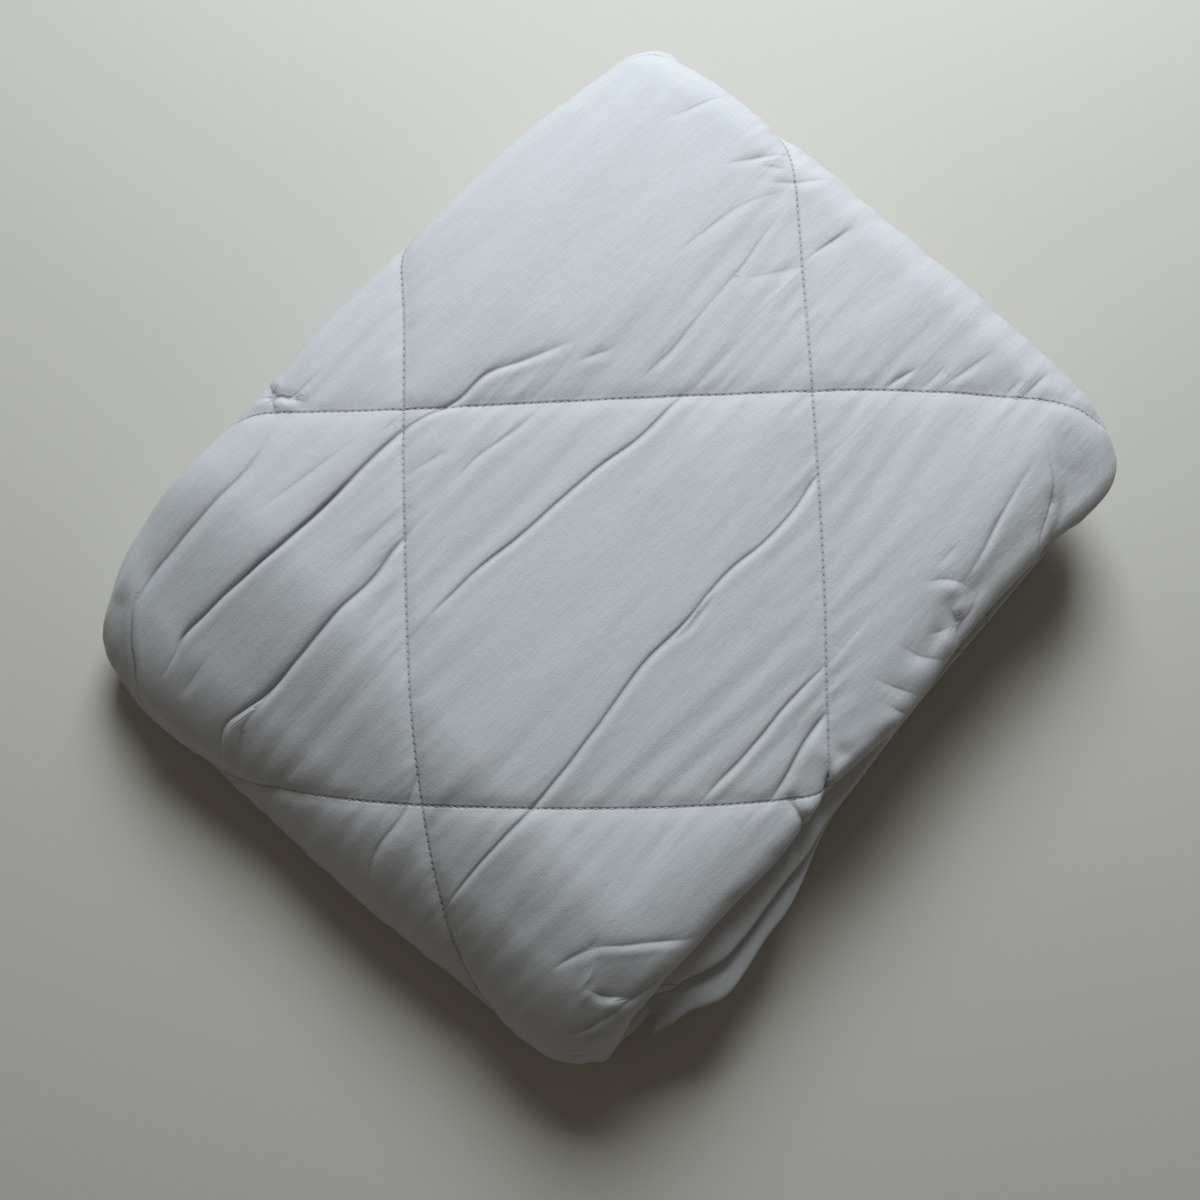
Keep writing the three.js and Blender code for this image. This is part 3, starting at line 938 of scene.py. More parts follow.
@dataclass
class Relief:
    """Everything that lifts or sinks the shell: quilting, drag lines, creases, dents and soft waves."""

    quilting: Quilting = field(default_factory=Quilting)
    channel_depth: float = 2.0
    channel_reach: float = 4.4
    channel_rounding: float = 1.5
    pillow_depth: float = 3.0
    pillow_reach: float = 32.0
    drag_height: float = 0.9
    drag_reach: float = 22.0
    drag_start: float = 3.0
    drag_ridges: Waves = Waves(2.0, 55.0, 11.0)
    drag_lines: Waves = Waves(0.5, 30.0, 6.5, 4.5)
    swell: Waves = Waves(1.5, 170.0, 60.0, 1.5)
    crumples: Waves = Waves(0.9, 90.0, 19.0, 4.5)
    streak_patches: Waves = Waves(1.0, 90.0, 70.0, 7.5)
    streaks: Waves = Waves(0.42, 46.0, 8.0, 8.5)
    rim_puckers: Waves = Waves(0.6, 17.0, 13.0, 12.5)
    near_rim: Ramp = Ramp(-215.0, -25.0)
    mark_reach: float = 6.5
    mark_fade: float = 2.5
    mark_core: float = 0.5
    drape_gain: float = 0.38
    creases: tuple[Crease, ...] = LONG_CREASES + SHORT_CREASES
    dents: tuple[Dent, ...] = DENTS

    def __post_init__(self) -> None:
        """Makes the noises, and runs the cloth simulation."""
        self.waves, self.drags, self.crumple = SmoothNoise(11), SmoothNoise(23), SmoothNoise(37)
        self.drape = Drape(self.quilting)

    def quilt_lift(self, places: Places) -> np.ndarray:
        """The quilting's lift, with the drag lines that the stitches pull into the shell.

        Args:
            places: Places on the skin.

        Returns:
            The lifts, lowest on the stitch lines, and 0 on the crowns of the squares.
        """
        near = self.quilting.distances(places)
        pillows = [1 - np.exp(-distance / self.pillow_reach) for distance in near]
        lift = -self.pillow_depth * (1 - pillows[0] * pillows[1])
        for distance in near:
            away = np.sqrt(distance**2 + self.channel_rounding)
            lift -= self.channel_depth * np.exp(-away / self.channel_reach)
        nearest = np.minimum(*near)
        ridges = 1 - np.abs(self.drag_ridges.at(self.drags, places.skin, places.across))
        fine = self.drag_lines.at(self.drags, places.skin, places.across)
        pull = np.exp(-nearest / self.drag_reach) * (1 - np.exp(-nearest / self.drag_start))
        return lift + self.drag_height * pull * (ridges + fine)

    def lift(self, places: Places) -> np.ndarray:
        """The whole lift of the skin.

        Args:
            places: Places on the skin.

        Returns:
            The lifts, in millimetres along the skin's normal.
        """
        total = self.quilt_lift(places)
        for number, crease in enumerate(self.creases):
            total = total + crease.lift(*crease.course(places, self.waves, number))
        for dent in self.dents:
            total = total + dent.lift(places)
        skin, across = places.skin, places.across
        total = total + self.swell.at(self.waves, skin, across)
        total = total + self.crumples.at(self.crumple, skin, across)
        streaked = smooth(self.streak_patches.at(self.waves, skin, across) + 0.5)
        total = total + self.streaks.at(self.crumple, skin, across, streaked)
        total = total + self.rim_puckers.at(self.crumple, skin, across, self.near_rim.at(across))
        return total + self.drape_gain * self.drape.lift(skin, across)

    def marks(self, places: Places) -> tuple[np.ndarray, np.ndarray]:
        """What the material needs to draw the creases' fine lines, as bump and as painted shade in their
        valleys.

        Args:
            places: The places.

        Returns:
            The distances from the nearest crease, and its depths there, 0 far from it.
        """
        nearest, deepest, best = (np.zeros(places.skin.shape) for _ in range(3))
        for number, crease in enumerate(self.creases):
            aside, depth = crease.course(places, self.waves, number)
            share = (np.abs(depth) + 1e-6) / (self.mark_core + np.abs(aside)) ** 2
            here = share > best
            nearest, deepest = np.where(here, aside, nearest), np.where(here, depth, deepest)
            best = np.where(here, share, best)
        near = smooth((self.mark_reach - np.abs(nearest)) / self.mark_fade)
        return np.clip(nearest, -self.mark_reach, self.mark_reach), deepest * near


# Shader maths

@dataclass
class Bench:
    """Adds nodes to one node tree."""

    tree: bpy.types.NodeTree

    def node(self, kind: str, settings: dict | None = None, inputs: dict | None = None) -> bpy.types.Node:
        """Adds a node.

        Args:
            kind: The node's type.
            settings: Its settings, which are set first.
            inputs: Values or links for its sockets, by name or number.

        Returns:
            The node.
        """
        node = self.tree.nodes.new(kind)
        for name, value in (settings or {}).items():
            setattr(node, name, value)
        for name, value in (inputs or {}).items():
            self.feed(node.inputs[name], value)
        return node

    def feed(self, socket: bpy.types.NodeSocket, value: object) -> None:
        """Links a socket or sets its value.

        Args:
            socket: The socket.
            value: A number in the tree, a node's output or a plain value.
        """
        if isinstance(value, Number):
            self.tree.links.new(value.socket, socket)
        elif isinstance(value, bpy.types.NodeSocket):
            self.tree.links.new(value, socket)
        else:
            socket.default_value = value

    def maths(self, operation: str, *values: object) -> "Number":
        """Adds a Math node on numbers and returns its result."""
        node = self.node("ShaderNodeMath", {"operation": operation}, dict(enumerate(values)))
        return Number(self, node.outputs[0])

    def stretched(self, vector: bpy.types.NodeSocket,
                  scale: tuple[float, float, float]) -> bpy.types.NodeSocket:
        """A vector scaled along its axes."""
        node = self.node("ShaderNodeVectorMath", {"operation": "MULTIPLY"}, {0: vector, 1: scale})
        return node.outputs[0]

    def parts(self, vector: bpy.types.NodeSocket) -> "tuple[Number, Number]":
        """A vector's first two parts."""
        split = self.node("ShaderNodeSeparateXYZ", inputs={0: vector})
        return Number(self, split.outputs[0]), Number(self, split.outputs[1])

    def noise(self, vector: bpy.types.NodeSocket, detail: float = 2.0, rough: float = 0.5) -> "Number":
        """Noise about 0, at one bump a unit.

        Args:
            vector: Where to read it. Its first two parts count.
            detail: How many finer layers it has.
            rough: How much the finer layers count.

        Returns:
            The noise, from -0.5 to 0.5.
        """
        inputs = {"Vector": vector, "Scale": 1.0, "Detail": detail, "Roughness": rough}
        node = self.node("ShaderNodeTexNoise", {"noise_dimensions": "2D"}, inputs)
        return Number(self, node.outputs[0]) - 0.5


def operator(operation: str, turned: bool = False) -> Callable[["Number", object], "Number"]:
    """Makes an operator for numbers in a node tree.

    Args:
        operation: The Math node's operation.
        turned: Whether the number comes second, as in 1 - mask.

    Returns:
        The operator.
    """
    def apply(number: "Number", other: object) -> "Number":
        """The operation on a number and another value."""
        values = (other, number) if turned else (number, other)
        return number.bench.maths(operation, *values)

    return apply


@dataclass
class Number:
    """A number in a node tree, with Python's operators."""

    bench: Bench
    socket: bpy.types.NodeSocket

    __add__, __radd__ = operator("ADD"), operator("ADD", True)
    __sub__, __rsub__ = operator("SUBTRACT"), operator("SUBTRACT", True)
    __mul__, __rmul__ = operator("MULTIPLY"), operator("MULTIPLY", True)
    __truediv__, __rtruediv__ = operator("DIVIDE"), operator("DIVIDE", True)

    def to_whole(self) -> "Number":
        """How far the number lies from the nearest whole number."""
        return self.bench.maths("PINGPONG", self, 0.5)

    def fading(self, reach: float) -> "Number":
        """1 at 0, falling off over a reach on both sides."""
        ratio = self / reach
        return self.bench.maths("EXPONENT", ratio * ratio * -1.0)

    def sine(self, pitch: float) -> "Number":
        """The sine of the number, over a pitch."""
        return self.bench.maths("SINE", self * (2 * math.pi / pitch))


@dataclass
class Surface:
    """A new material, with a bench for its nodes."""

    name: str

    def __post_init__(self) -> None:
        """Makes the material."""
        self.material = bpy.data.materials.new(self.name)
        self.material.use_nodes = True
        self.bench = Bench(self.material.node_tree)

    def dress(self, **inputs: object) -> None:
        """Sets or links the shader's sockets, named with _ for the spaces in their names."""
        shader = self.material.node_tree.nodes["Principled BSDF"]
        for name, value in inputs.items():
            self.bench.feed(shader.inputs[name.replace("_", " ")], value)

    def tint(self, colour: tuple[float, float, float], shade: Number) -> bpy.types.NodeSocket:
        """A colour times a shade."""
        inputs = {0: colour, "Scale": shade}
        return self.bench.node("ShaderNodeVectorMath", {"operation": "SCALE"}, inputs).outputs[0]


# Finishes

@dataclass(frozen=True)
class Traits:
    """How much each trait of the cloth counts, in its shade of colour or in its height in millimetres. In the
    shade of colour, the darkening by holes, groove and fold is painted shade.
    """

    slubs: float
    grain: float
    holes: float
    groove: float
    fold: float
    clouds: float = 0.0
    weave: float = 0.0
    crinkle: float = 0.0
    puckers: float = 0.0


@dataclass(frozen=True)
class ClothFinish:
    """The shell: a fine plain weave of light grey cotton, with its stitch holes, and painted shade in the
    holes, the stitch grooves and the crease valleys.
    """

    colour: tuple[float, float, float] = (0.60, 0.605, 0.615)
    roughness: float = 0.86
    slub_roughness: float = 0.08
    hole_roughness: float = 0.05
    sheen: float = 0.12
    sheen_roughness: float = 0.5
    specular: float = 0.25
    weave_pitch: float = 0.55
    slub_length: float = 22.0
    slub_width: float = 1.3
    crease_width: float = 1.4
    pucker_reach: float = 6.0
    pucker_scale: tuple[float, float] = (9.0, 48.0)  # puckers a square, off a stitch line and along it
    groove_width: float = 1.2
    hole_width: float = 0.6
    hole_length: float = 0.9
    cloud_scale: tuple[float, float, float] = (14, 14, 0)  # in bumps a metre, as the next two
    crinkle_scale: tuple[float, float, float] = (55, 160, 0)
    grain_scale: tuple[float, float, float] = (900, 900, 0)
    # in this colour weighting, the darkening by holes, groove and fold is painted shade; slubs, clouds and
    # grain are the cloth's own tone
    tone_and_painted_shade: Traits = Traits(slubs=0.10, clouds=0.05, grain=0.16, holes=0.42, groove=0.12, fold=0.11)
    rise: Traits = Traits(slubs=0.05, weave=0.02, crinkle=0.38, grain=0.15, puckers=0.3, groove=0.55,
                          holes=0.4, fold=0.2)

    def material(self, quilting: Quilting) -> bpy.types.Material:
        """Makes the material.

        Args:
            quilting: The quilting, whose stitch holes the material shows.

        Returns:
            The material. It reads the UV maps cloth, in metres, quilt, in squares, and creases, which
            holds the distance from the nearest crease and its depth, in millimetres.
        """
        surface = Surface("grey_cotton")
        bench, tone_and_painted_shade, rise = surface.bench, self.tone_and_painted_shade, self.rise
        names = ("cloth", "quilt", "creases")
        maps = [bench.node("ShaderNodeUVMap", {"uv_map": name}).outputs[0] for name in names]
        cloth, quilt, creases = maps
        falling, rising = bench.parts(quilt)
        aside, depth = bench.parts(creases)
        # The crease lines: a mask for their bump and for the painted shade that darkens the cloth's colour in
        # their valleys
        fold = aside.fading(self.crease_width) * depth
        holes = self.holes(quilting, falling, rising) + self.holes(quilting, rising, falling)
        groove = self.groove(quilting, falling) + self.groove(quilting, rising)
        puckers = self.puckers(bench, quilting, falling, rising)
        puckers = puckers + self.puckers(bench, quilting, rising, falling)
        slub_along, slub_across = 1 / self.slub_length / MM, 1 / self.slub_width / MM
        across_slubs = bench.noise(bench.stretched(cloth, (slub_along, slub_across, 0)))
        along_slubs = bench.noise(bench.stretched(cloth, (slub_across, slub_along, 0)))
        clouds = bench.noise(bench.stretched(cloth, self.cloud_scale), 3.0)
        crinkle = bench.noise(bench.stretched(cloth, self.crinkle_scale), 3.0, 0.55)
        grain = bench.noise(bench.stretched(cloth, self.grain_scale))
        # The cloth's shade of colour: random slubs, clouds and grain, less painted shade in the needle holes,
        # the stitch grooves and the crease valleys
        shade = 1.0 + tone_and_painted_shade.slubs * across_slubs + tone_and_painted_shade.slubs * along_slubs + tone_and_painted_shade.clouds * clouds
        shade = shade + tone_and_painted_shade.grain * grain - tone_and_painted_shade.holes * holes - tone_and_painted_shade.groove * groove - tone_and_painted_shade.fold * fold
        height = rise.slubs * across_slubs + rise.slubs * along_slubs + rise.weave * self.weave(bench, cloth)
        height = height + rise.crinkle * crinkle + rise.grain * grain + rise.puckers * puckers
        height = height - rise.groove * groove - rise.holes * holes - rise.fold * fold
        bump = bench.node("ShaderNodeBump", inputs={"Strength": 1.0, "Distance": MM, "Height": height})
        surface.dress(
            Base_Color=surface.tint(self.colour, shade),
            Roughness=self.roughness + self.slub_roughness * across_slubs + self.hole_roughness * holes,
            Normal=bump.outputs[0],
            Sheen_Weight=self.sheen,
            Sheen_Roughness=self.sheen_roughness,
            Specular_IOR_Level=self.specular,
        )
        return surface.material

    def holes(self, quilting: Quilting, off: Number, along: Number) -> Number:
        """The needle holes of one family of stitch lines: a mask for their bump, and for the painted shade
        that darkens the cloth's colour in them.

        Args:
            quilting: The quilting.
            off: Quilt coordinates across the family.
            along: Quilt coordinates along it.

        Returns:
            1 in a hole, 0 away from the stitch lines.
        """
        beside = off.to_whole() * quilting.square
        between = (along * (quilting.square / quilting.stitch)).to_whole() * quilting.stitch
        return beside.fading(self.hole_width) * between.fading(self.hole_length)

    def puckers(self, bench: Bench, quilting: Quilting, off: Number, along: Number) -> Number:
        """The small puckers that stand across one family of stitch lines.

        Args:
            bench: Where the nodes go.
            quilting: The quilting.
            off: Quilt coordinates across the family.
            along: Quilt coordinates along it.

        Returns:
            Their height about 0.
        """
        inputs = {0: off * self.pucker_scale[0], 1: along * self.pucker_scale[1]}
        place = bench.node("ShaderNodeCombineXYZ", inputs=inputs).outputs[0]
        return bench.noise(place, 1.0) * (off.to_whole() * quilting.square).fading(self.pucker_reach)

    def groove(self, quilting: Quilting, off: Number) -> Number:
        """The narrow groove that the thread pulls into the shell, a mask for its bump and for the painted
        shade that darkens the cloth's colour in it: 1 on a stitch line.
        """
        return (off.to_whole() * quilting.square).fading(self.groove_width)

    def weave(self, bench: Bench, cloth: bpy.types.NodeSocket) -> Number:
        """The plain weave's threads, over and under."""
        warp, weft = (part.sine(self.weave_pitch * MM) for part in bench.parts(cloth))
        return warp * weft


@dataclass(frozen=True)
class ThreadFinish:
    """The quilting thread, a little darker and smoother than the shell, and the size of its beads. Its darker
    grey is painted shade: the thread has the cloth's grey, darkened for the shade it sits in.
    """

    # darker than the cloth's grey as painted shade
    colour: tuple[float, float, float] = (0.52, 0.525, 0.53)
    roughness: float = 0.7
    twist_scale: float = 900.0  # in bumps a metre
    twist_tone: float = 0.2
    twist_roughness: float = 0.1
    bead_share: float = 0.72  # of a stitch's length
    bead_width: float = 0.6
    sunk: float = 0.05

    def material(self) -> bpy.types.Material:
        """Makes the material.

        Returns:
            The material. Its twist reads Object coordinates.
        """
        surface = Surface("quilting_thread")
        bench = surface.bench
        place = bench.node("ShaderNodeTexCoord").outputs["Object"]
        twist = bench.noise(bench.stretched(place, (self.twist_scale,) * 3))
        surface.dress(
            Base_Color=surface.tint(self.colour, 1.0 + self.twist_tone * twist),
            Roughness=self.roughness + self.twist_roughness * twist,
        )
        return surface.material


@dataclass(frozen=True)
class PlainFinish:
    """A plain matt surface, for what isn't part of the object."""

    name: str
    colour: tuple[float, float, float]
    roughness: float = 0.9

    def material(self) -> bpy.types.Material:
        """Makes the material."""
        surface = Surface(self.name)
        surface.dress(Base_Color=(*self.colour, 1.0), Roughness=self.roughness)
        return surface.material


# The comforter

@dataclass
class Comforter:
    """The one padded piece: its filled shell and its quilting stitches."""

    strip: Strip = field(default_factory=Strip)
    relief: Relief = field(default_factory=Relief)
    cloth: ClothFinish = field(default_factory=ClothFinish)
    thread: ThreadFinish = field(default_factory=ThreadFinish)
    column_step: float = 2.9
    close_reach: tuple[float, ...] = (2.4, 4.0, 9.0)
    close_steps: tuple[float, ...] = (0.6, 1.2, 2.9)
    bend_limit: float = 16.0
    bend_reach: float = 30.0
    usual_folds: tuple[float, float] = (-232.0, 262.0)  # the Y where the outer stretch mostly ends
    fold_blend: float = 90.0
    rim_blend: float = 15.0
    resting: Ramp = Ramp(3.45, 0.35)
    outer_rim: Ramp = Ramp(225.0, 30.0)
    rolled_in: Ramp = Ramp(1.0, -0.1)
    beyond_hem: Ramp = Ramp(0.0, 20.0)
    hidden_share: float = 0.35
    hem_share: float = 0.15
    stitched_under: float = 480.0  # how far the stitch lines run on, below the large turn
    stitched_short: float = 5.0
    stitched_across: tuple[float, float] = (-262.0, 420.0)
    lines_each_way: int = 6
    stitches_each_way: int = 260
    least_height: float = 1.0  # of a stitch above the floor
    least_stitches: int = 4

    def stations(self) -> np.ndarray:
        """Where the cross-sections stand: close together where the cloth shows.

        Returns:
            Their path coordinates, as a column.
        """
        stretches = [
            np.array([0.0, 0.004, 0.01, 0.02, 0.032]),
            np.linspace(0.045, 0.36, 24),
            np.linspace(0.4, 0.97, 11),
            np.linspace(1.0, 2.0, 32),
            np.linspace(2.0, 3.0, 158)[1:],
            np.linspace(3.0, 4.0, 50)[1:],
            np.linspace(4.0, 4.36, 22)[1:],
            np.linspace(4.4, 4.97, 11),
            np.array([4.98, 4.99, 4.996, 5.0]),
        ]
        return np.unique(np.concatenate(stretches))[:, None]

    def outer_shares(self, path: np.ndarray) -> np.ndarray:
        """Shares of the outer stretch, in rows for the stations.

        The columns keep their Y, apart from those near a long crease, which follow it and stand close.

        Args:
            path: Path coordinates, as a column.

        Returns:
            The shares.
        """
        small, large = self.strip.fold_centres(path)
        usual_small, usual_large = self.usual_folds
        routes = [np.array(sorted(crease.places)) for crease in self.relief.creases if crease.guides]
        homes = [float(np.median(route[:, 1])) for route in routes]
        ticks = [usual_small]
        while ticks[-1] < usual_large - self.column_step:
            away = min(abs(ticks[-1] - home) for home in homes)
            ticks.append(ticks[-1] + np.interp(away, self.close_reach, self.close_steps))
        row = np.append(ticks, usual_large)[None, :]
        skin = self.strip.middle_at(path)[4]
        shift = 0.0
        for route, home in zip(routes, homes):
            bend = np.clip(curve(skin, route[:, 0], route[:, 1]) - home, -self.bend_limit, self.bend_limit)
            shift = shift + bend * np.exp(-(((row - home) / self.bend_reach) ** 2))
        low = (small - usual_small) * (1 - smooth((row - usual_small) / self.fold_blend))
        high = (large - usual_large) * smooth((row - usual_large + self.fold_blend) / self.fold_blend)
        shift = shift * smooth((row - usual_small) / self.rim_blend)
        return (row + shift + low + high - small) / (large - small)

    def outline(self, path: np.ndarray) -> tuple[list[Places], list[Places], np.ndarray]:
        """All cross-sections: the skin side of every stretch, then the lining side back again.

        Args:
            path: Path coordinates, as a column.

        Returns:
            The groups of places on the skin side, those on the lining side, and each column's place
            on the middle line.
        """
        near_hem = [0, 0.003, 0.008, 0.016, 0.028, 0.045, 0.07, 0.11, 0.2, 0.42, 0.7, 0.93]
        skin_side = {
            Run.TUCKED: np.array([[0, 0.01, 0.035, 0.2, 0.55, 0.85, 0.96, 1.0]]),
            Run.SMALL_FOLD: np.linspace(0, 1, 17)[None, 1:-1],
            Run.OUTER: self.outer_shares(path),
            Run.LARGE_FOLD: np.linspace(0, 1, 19)[None, 1:-1],
            Run.COVERING: np.append(0.0, 1 - np.array(near_hem)[::-1])[None, :],
        }
        lining_side = {
            Run.COVERING: 1 - np.array([[0, 0.003, 0.009, 0.02, 0.035, 0.06, 0.09, 0.13, 0.2, 0.6, 0.95]]),
            Run.LARGE_FOLD: np.array([[1.0, 0.67, 0.33, 0.0]]),
            Run.OUTER: np.array([[0.94, 0.5, 0.06]]),
            Run.SMALL_FOLD: np.array([[1.0, 0.5, 0.0]]),
            Run.TUCKED: np.array([[0.97, 0.5, 0.05, 0.012, 0]]),
        }
        skins = [self.strip.layer(path, run, t, Face.SKIN) for run, t in skin_side.items()]
        linings = [self.strip.layer(path, run, t, Face.LINING) for run, t in lining_side.items()]
        along = [run.value + t[0] for run, t in [*skin_side.items(), *lining_side.items()]]
        return skins, linings, np.concatenate(along)

    def shaped(self, places: Places) -> np.ndarray:
        """Where the skin lies after the relief and the settling, in millimetres."""
        lift = self.relief_share(places) * self.relief.lift(places)
        return self.strip.settle(places.position + places.normal * lift[..., None])

    def relief_share(self, places: Places) -> np.ndarray:
        """How much of the relief the skin takes: little where it rests, inside the roll and at a hem.

        Args:
            places: Places on the skin.

        Returns:
            Shares from 0 to 1.
        """
        rim = self.outer_rim.at(np.abs(places.position[..., 1]))
        rolled_in = lerp(1.0, self.hidden_share, self.rolled_in.at(places.path))
        hem = lerp(self.hem_share, 1.0, self.beyond_hem.at(places.from_hem))
        return lerp(1.0, self.hidden_share * rim, self.resting.at(places.path)) * rolled_in * hem

    def build(self) -> list[bpy.types.Object]:
        """Returns:
            The two pieces.
        """
        shell = self.build_shell()
        stitches = self.build_stitches(shell)
        return [shell, stitches]

    def build_shell(self) -> bpy.types.Object:
        """Builds the filled shell: a closed grid of cross-sections, with a cap at each end.

        Returns:
            The shell.
        """
        path = self.stations()
        skins, linings, along = self.outline(path)
        settled = [self.strip.settle(places.position) for places in linings]
        grid = np.concatenate([self.shaped(places) for places in skins] + settled, 1)
        grid[..., 2] = np.maximum(grid[..., 2], 0.0)
        rows, columns = grid.shape[:2]
        skin_columns = sum(places.skin.shape[1] for places in skins)
        cap = self.cap_faces(along, skin_columns)
        last = (rows - 1) * columns
        faces = self.wall_faces(rows, columns)
        faces += cap + [(last + a, last + c, last + b) for a, b, c in cap]
        mesh = bpy.data.meshes.new("comforter_shell")
        mesh.from_pydata((grid.reshape(-1, 3) * MM).tolist(), [], faces)
        groups = skins + linings
        self.add_map(mesh, "cloth", [(places.skin * MM, places.across * MM) for places in groups])
        self.add_map(mesh, "quilt", [self.relief.quilting.squares_at(places) for places in groups])
        self.add_map(mesh, "creases", [self.relief.marks(places) for places in groups])
        if self.volume(mesh) < 0:
            mesh.flip_normals()
        mesh.shade_smooth()
        mesh.materials.append(self.cloth.material(self.relief.quilting))
        piece = bpy.data.objects.new("comforter_shell", mesh)
        bpy.context.scene.collection.objects.link(piece)
        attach(piece, "root")
        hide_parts("comforter")
        LOG.info("shell: %d cross-sections of %d points, %d faces", rows, columns, len(faces))
        return piece

    def build_stitches(self, shell: bpy.types.Object) -> bpy.types.Object:
        """Lays a bead of thread between every two needle holes, on the shell.

        Args:
            shell: The finished shell.

        Returns:
            The stitches, one joined mesh.
        """
        surface = BVHTree.FromObject(shell, bpy.context.evaluated_depsgraph_get())
        points, edges = [], []
        seams = self.seam_lines()
        for line in seams:
            for place in line:
                found, normal, _, _ = surface.find_nearest(Vector(place * MM))
                points.append(found - normal * self.thread.sunk * MM)
            edges += [(index - 1, index) for index in range(len(points) - len(line) + 1, len(points))]
        mesh = bpy.data.meshes.new("stitch_lines")
        mesh.from_pydata(points, edges, [])
        lines = bpy.data.objects.new("stitch_lines", mesh)
        bpy.context.scene.collection.objects.link(lines)
        modifier = lines.modifiers.new("stitches", "NODES")
        modifier.node_group = StitchTree().build()
        given = {
            "Bead Length": self.thread.bead_share * self.relief.quilting.stitch * MM,
            "Bead Width": self.thread.bead_width * MM,
            "Thread": self.thread.material(),
        }
        for item in modifier.node_group.interface.items_tree:
            if item.name in given:
                modifier[item.identifier] = given[item.name]
        evaluated = lines.evaluated_get(bpy.context.evaluated_depsgraph_get())
        beads = bpy.data.meshes.new_from_object(evaluated)
        beads.name = "quilting_stitches"
        bpy.data.objects.remove(lines)
        piece = bpy.data.objects.new("quilting_stitches", beads)
        bpy.context.scene.collection.objects.link(piece)
        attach(piece, "root")
        LOG.info("stitches: %d on %d lines, %d faces", len(points), len(seams), len(beads.polygons))
        return piece

    def seam_lines(self) -> list[np.ndarray]:
        """The middles of the stitches along every stitch line of the skin.

        Returns:
            The stretches of stitches, in millimetres.
        """
        quilting, strip = self.relief.quilting, self.strip
        first_skin = strip.wrap_x - strip.wrap_length - self.stitched_under
        last_skin = strip.turn_x + strip.turn_length - self.stitched_short
        along = (np.arange(-self.stitches_each_way, self.stitches_each_way)[:, None] + 0.5) * quilting.stitch
        numbers = range(-self.lines_each_way, self.lines_each_way + 1)
        lines = []
        for family, number in [(family, number) for family in Family for number in numbers]:
            skin, across = quilting.seam_place(family, number, along)
            kept_skin = np.clip(skin, first_skin, last_skin)
            kept_across = np.clip(across, *self.stitched_across)
            spots = self.shaped(strip.skin_places(kept_skin, kept_across))[:, 0]
            inside = ((skin == kept_skin) & (across == kept_across))[:, 0] & (spots[:, 2] > self.least_height)
            for stretch in np.split(np.arange(len(spots)), np.where(np.diff(inside.astype(int)))[0] + 1):
                if inside[stretch[0]] and len(stretch) >= self.least_stitches:
                    lines.append(spots[stretch])
        return lines

    @staticmethod
    def add_map(mesh: bpy.types.Mesh, name: str, parts: list[tuple[np.ndarray, np.ndarray]]) -> None:
        """Adds a UV map.

        Args:
            mesh: The shell's mesh.
            name: The map's name.
            parts: Its two values at the grid's points, in groups of columns.
        """
        values = np.concatenate([np.stack(pair, -1) for pair in parts], 1).reshape(-1, 2)
        corners = np.empty(len(mesh.loops), int)
        mesh.loops.foreach_get("vertex_index", corners)
        mesh.uv_layers.new(name=name).data.foreach_set("uv", values[corners].ravel())

    @staticmethod
    def wall_faces(rows: int, columns: int) -> list[tuple[int, ...]]:
        """The quads between neighbouring cross-sections.

        Args:
            rows: How many cross-sections there are.
            columns: How many points each has.

        Returns:
            The quads' corners.
        """
        row, column = np.meshgrid(np.arange(rows - 1), np.arange(columns), indexing="ij")
        following = (column + 1) % columns
        corners = [row * columns + column, (row + 1) * columns + column,
                   (row + 1) * columns + following, row * columns + following]
        return [tuple(face) for face in np.stack(corners, -1).reshape(-1, 4).tolist()]

    @staticmethod
    def cap_faces(along: np.ndarray, turn: int) -> list[tuple[int, int, int]]:
        """The triangles that close an end, zipped between the outline's two sides.

        Args:
            along: Each column's place on the middle line.
            turn: How many columns lie on the skin side.

        Returns:
            The triangles' corners.
        """
        i, j = 0, len(along) - 1
        faces = []
        while i < turn - 1 or j > turn:
            if j == turn or (i < turn - 1 and along[i + 1] <= along[j - 1]):
                faces.append((i, i + 1, j))
                i += 1
            else:
                faces.append((i, j - 1, j))
                j -= 1
        return faces

    @staticmethod
    def volume(mesh: bpy.types.Mesh) -> float:
        """The mesh's volume, below 0 where its faces point inwards."""
        shape = bmesh.new()
        shape.from_mesh(mesh)
        volume = shape.calc_volume(signed=True)
        shape.free()
        return volume


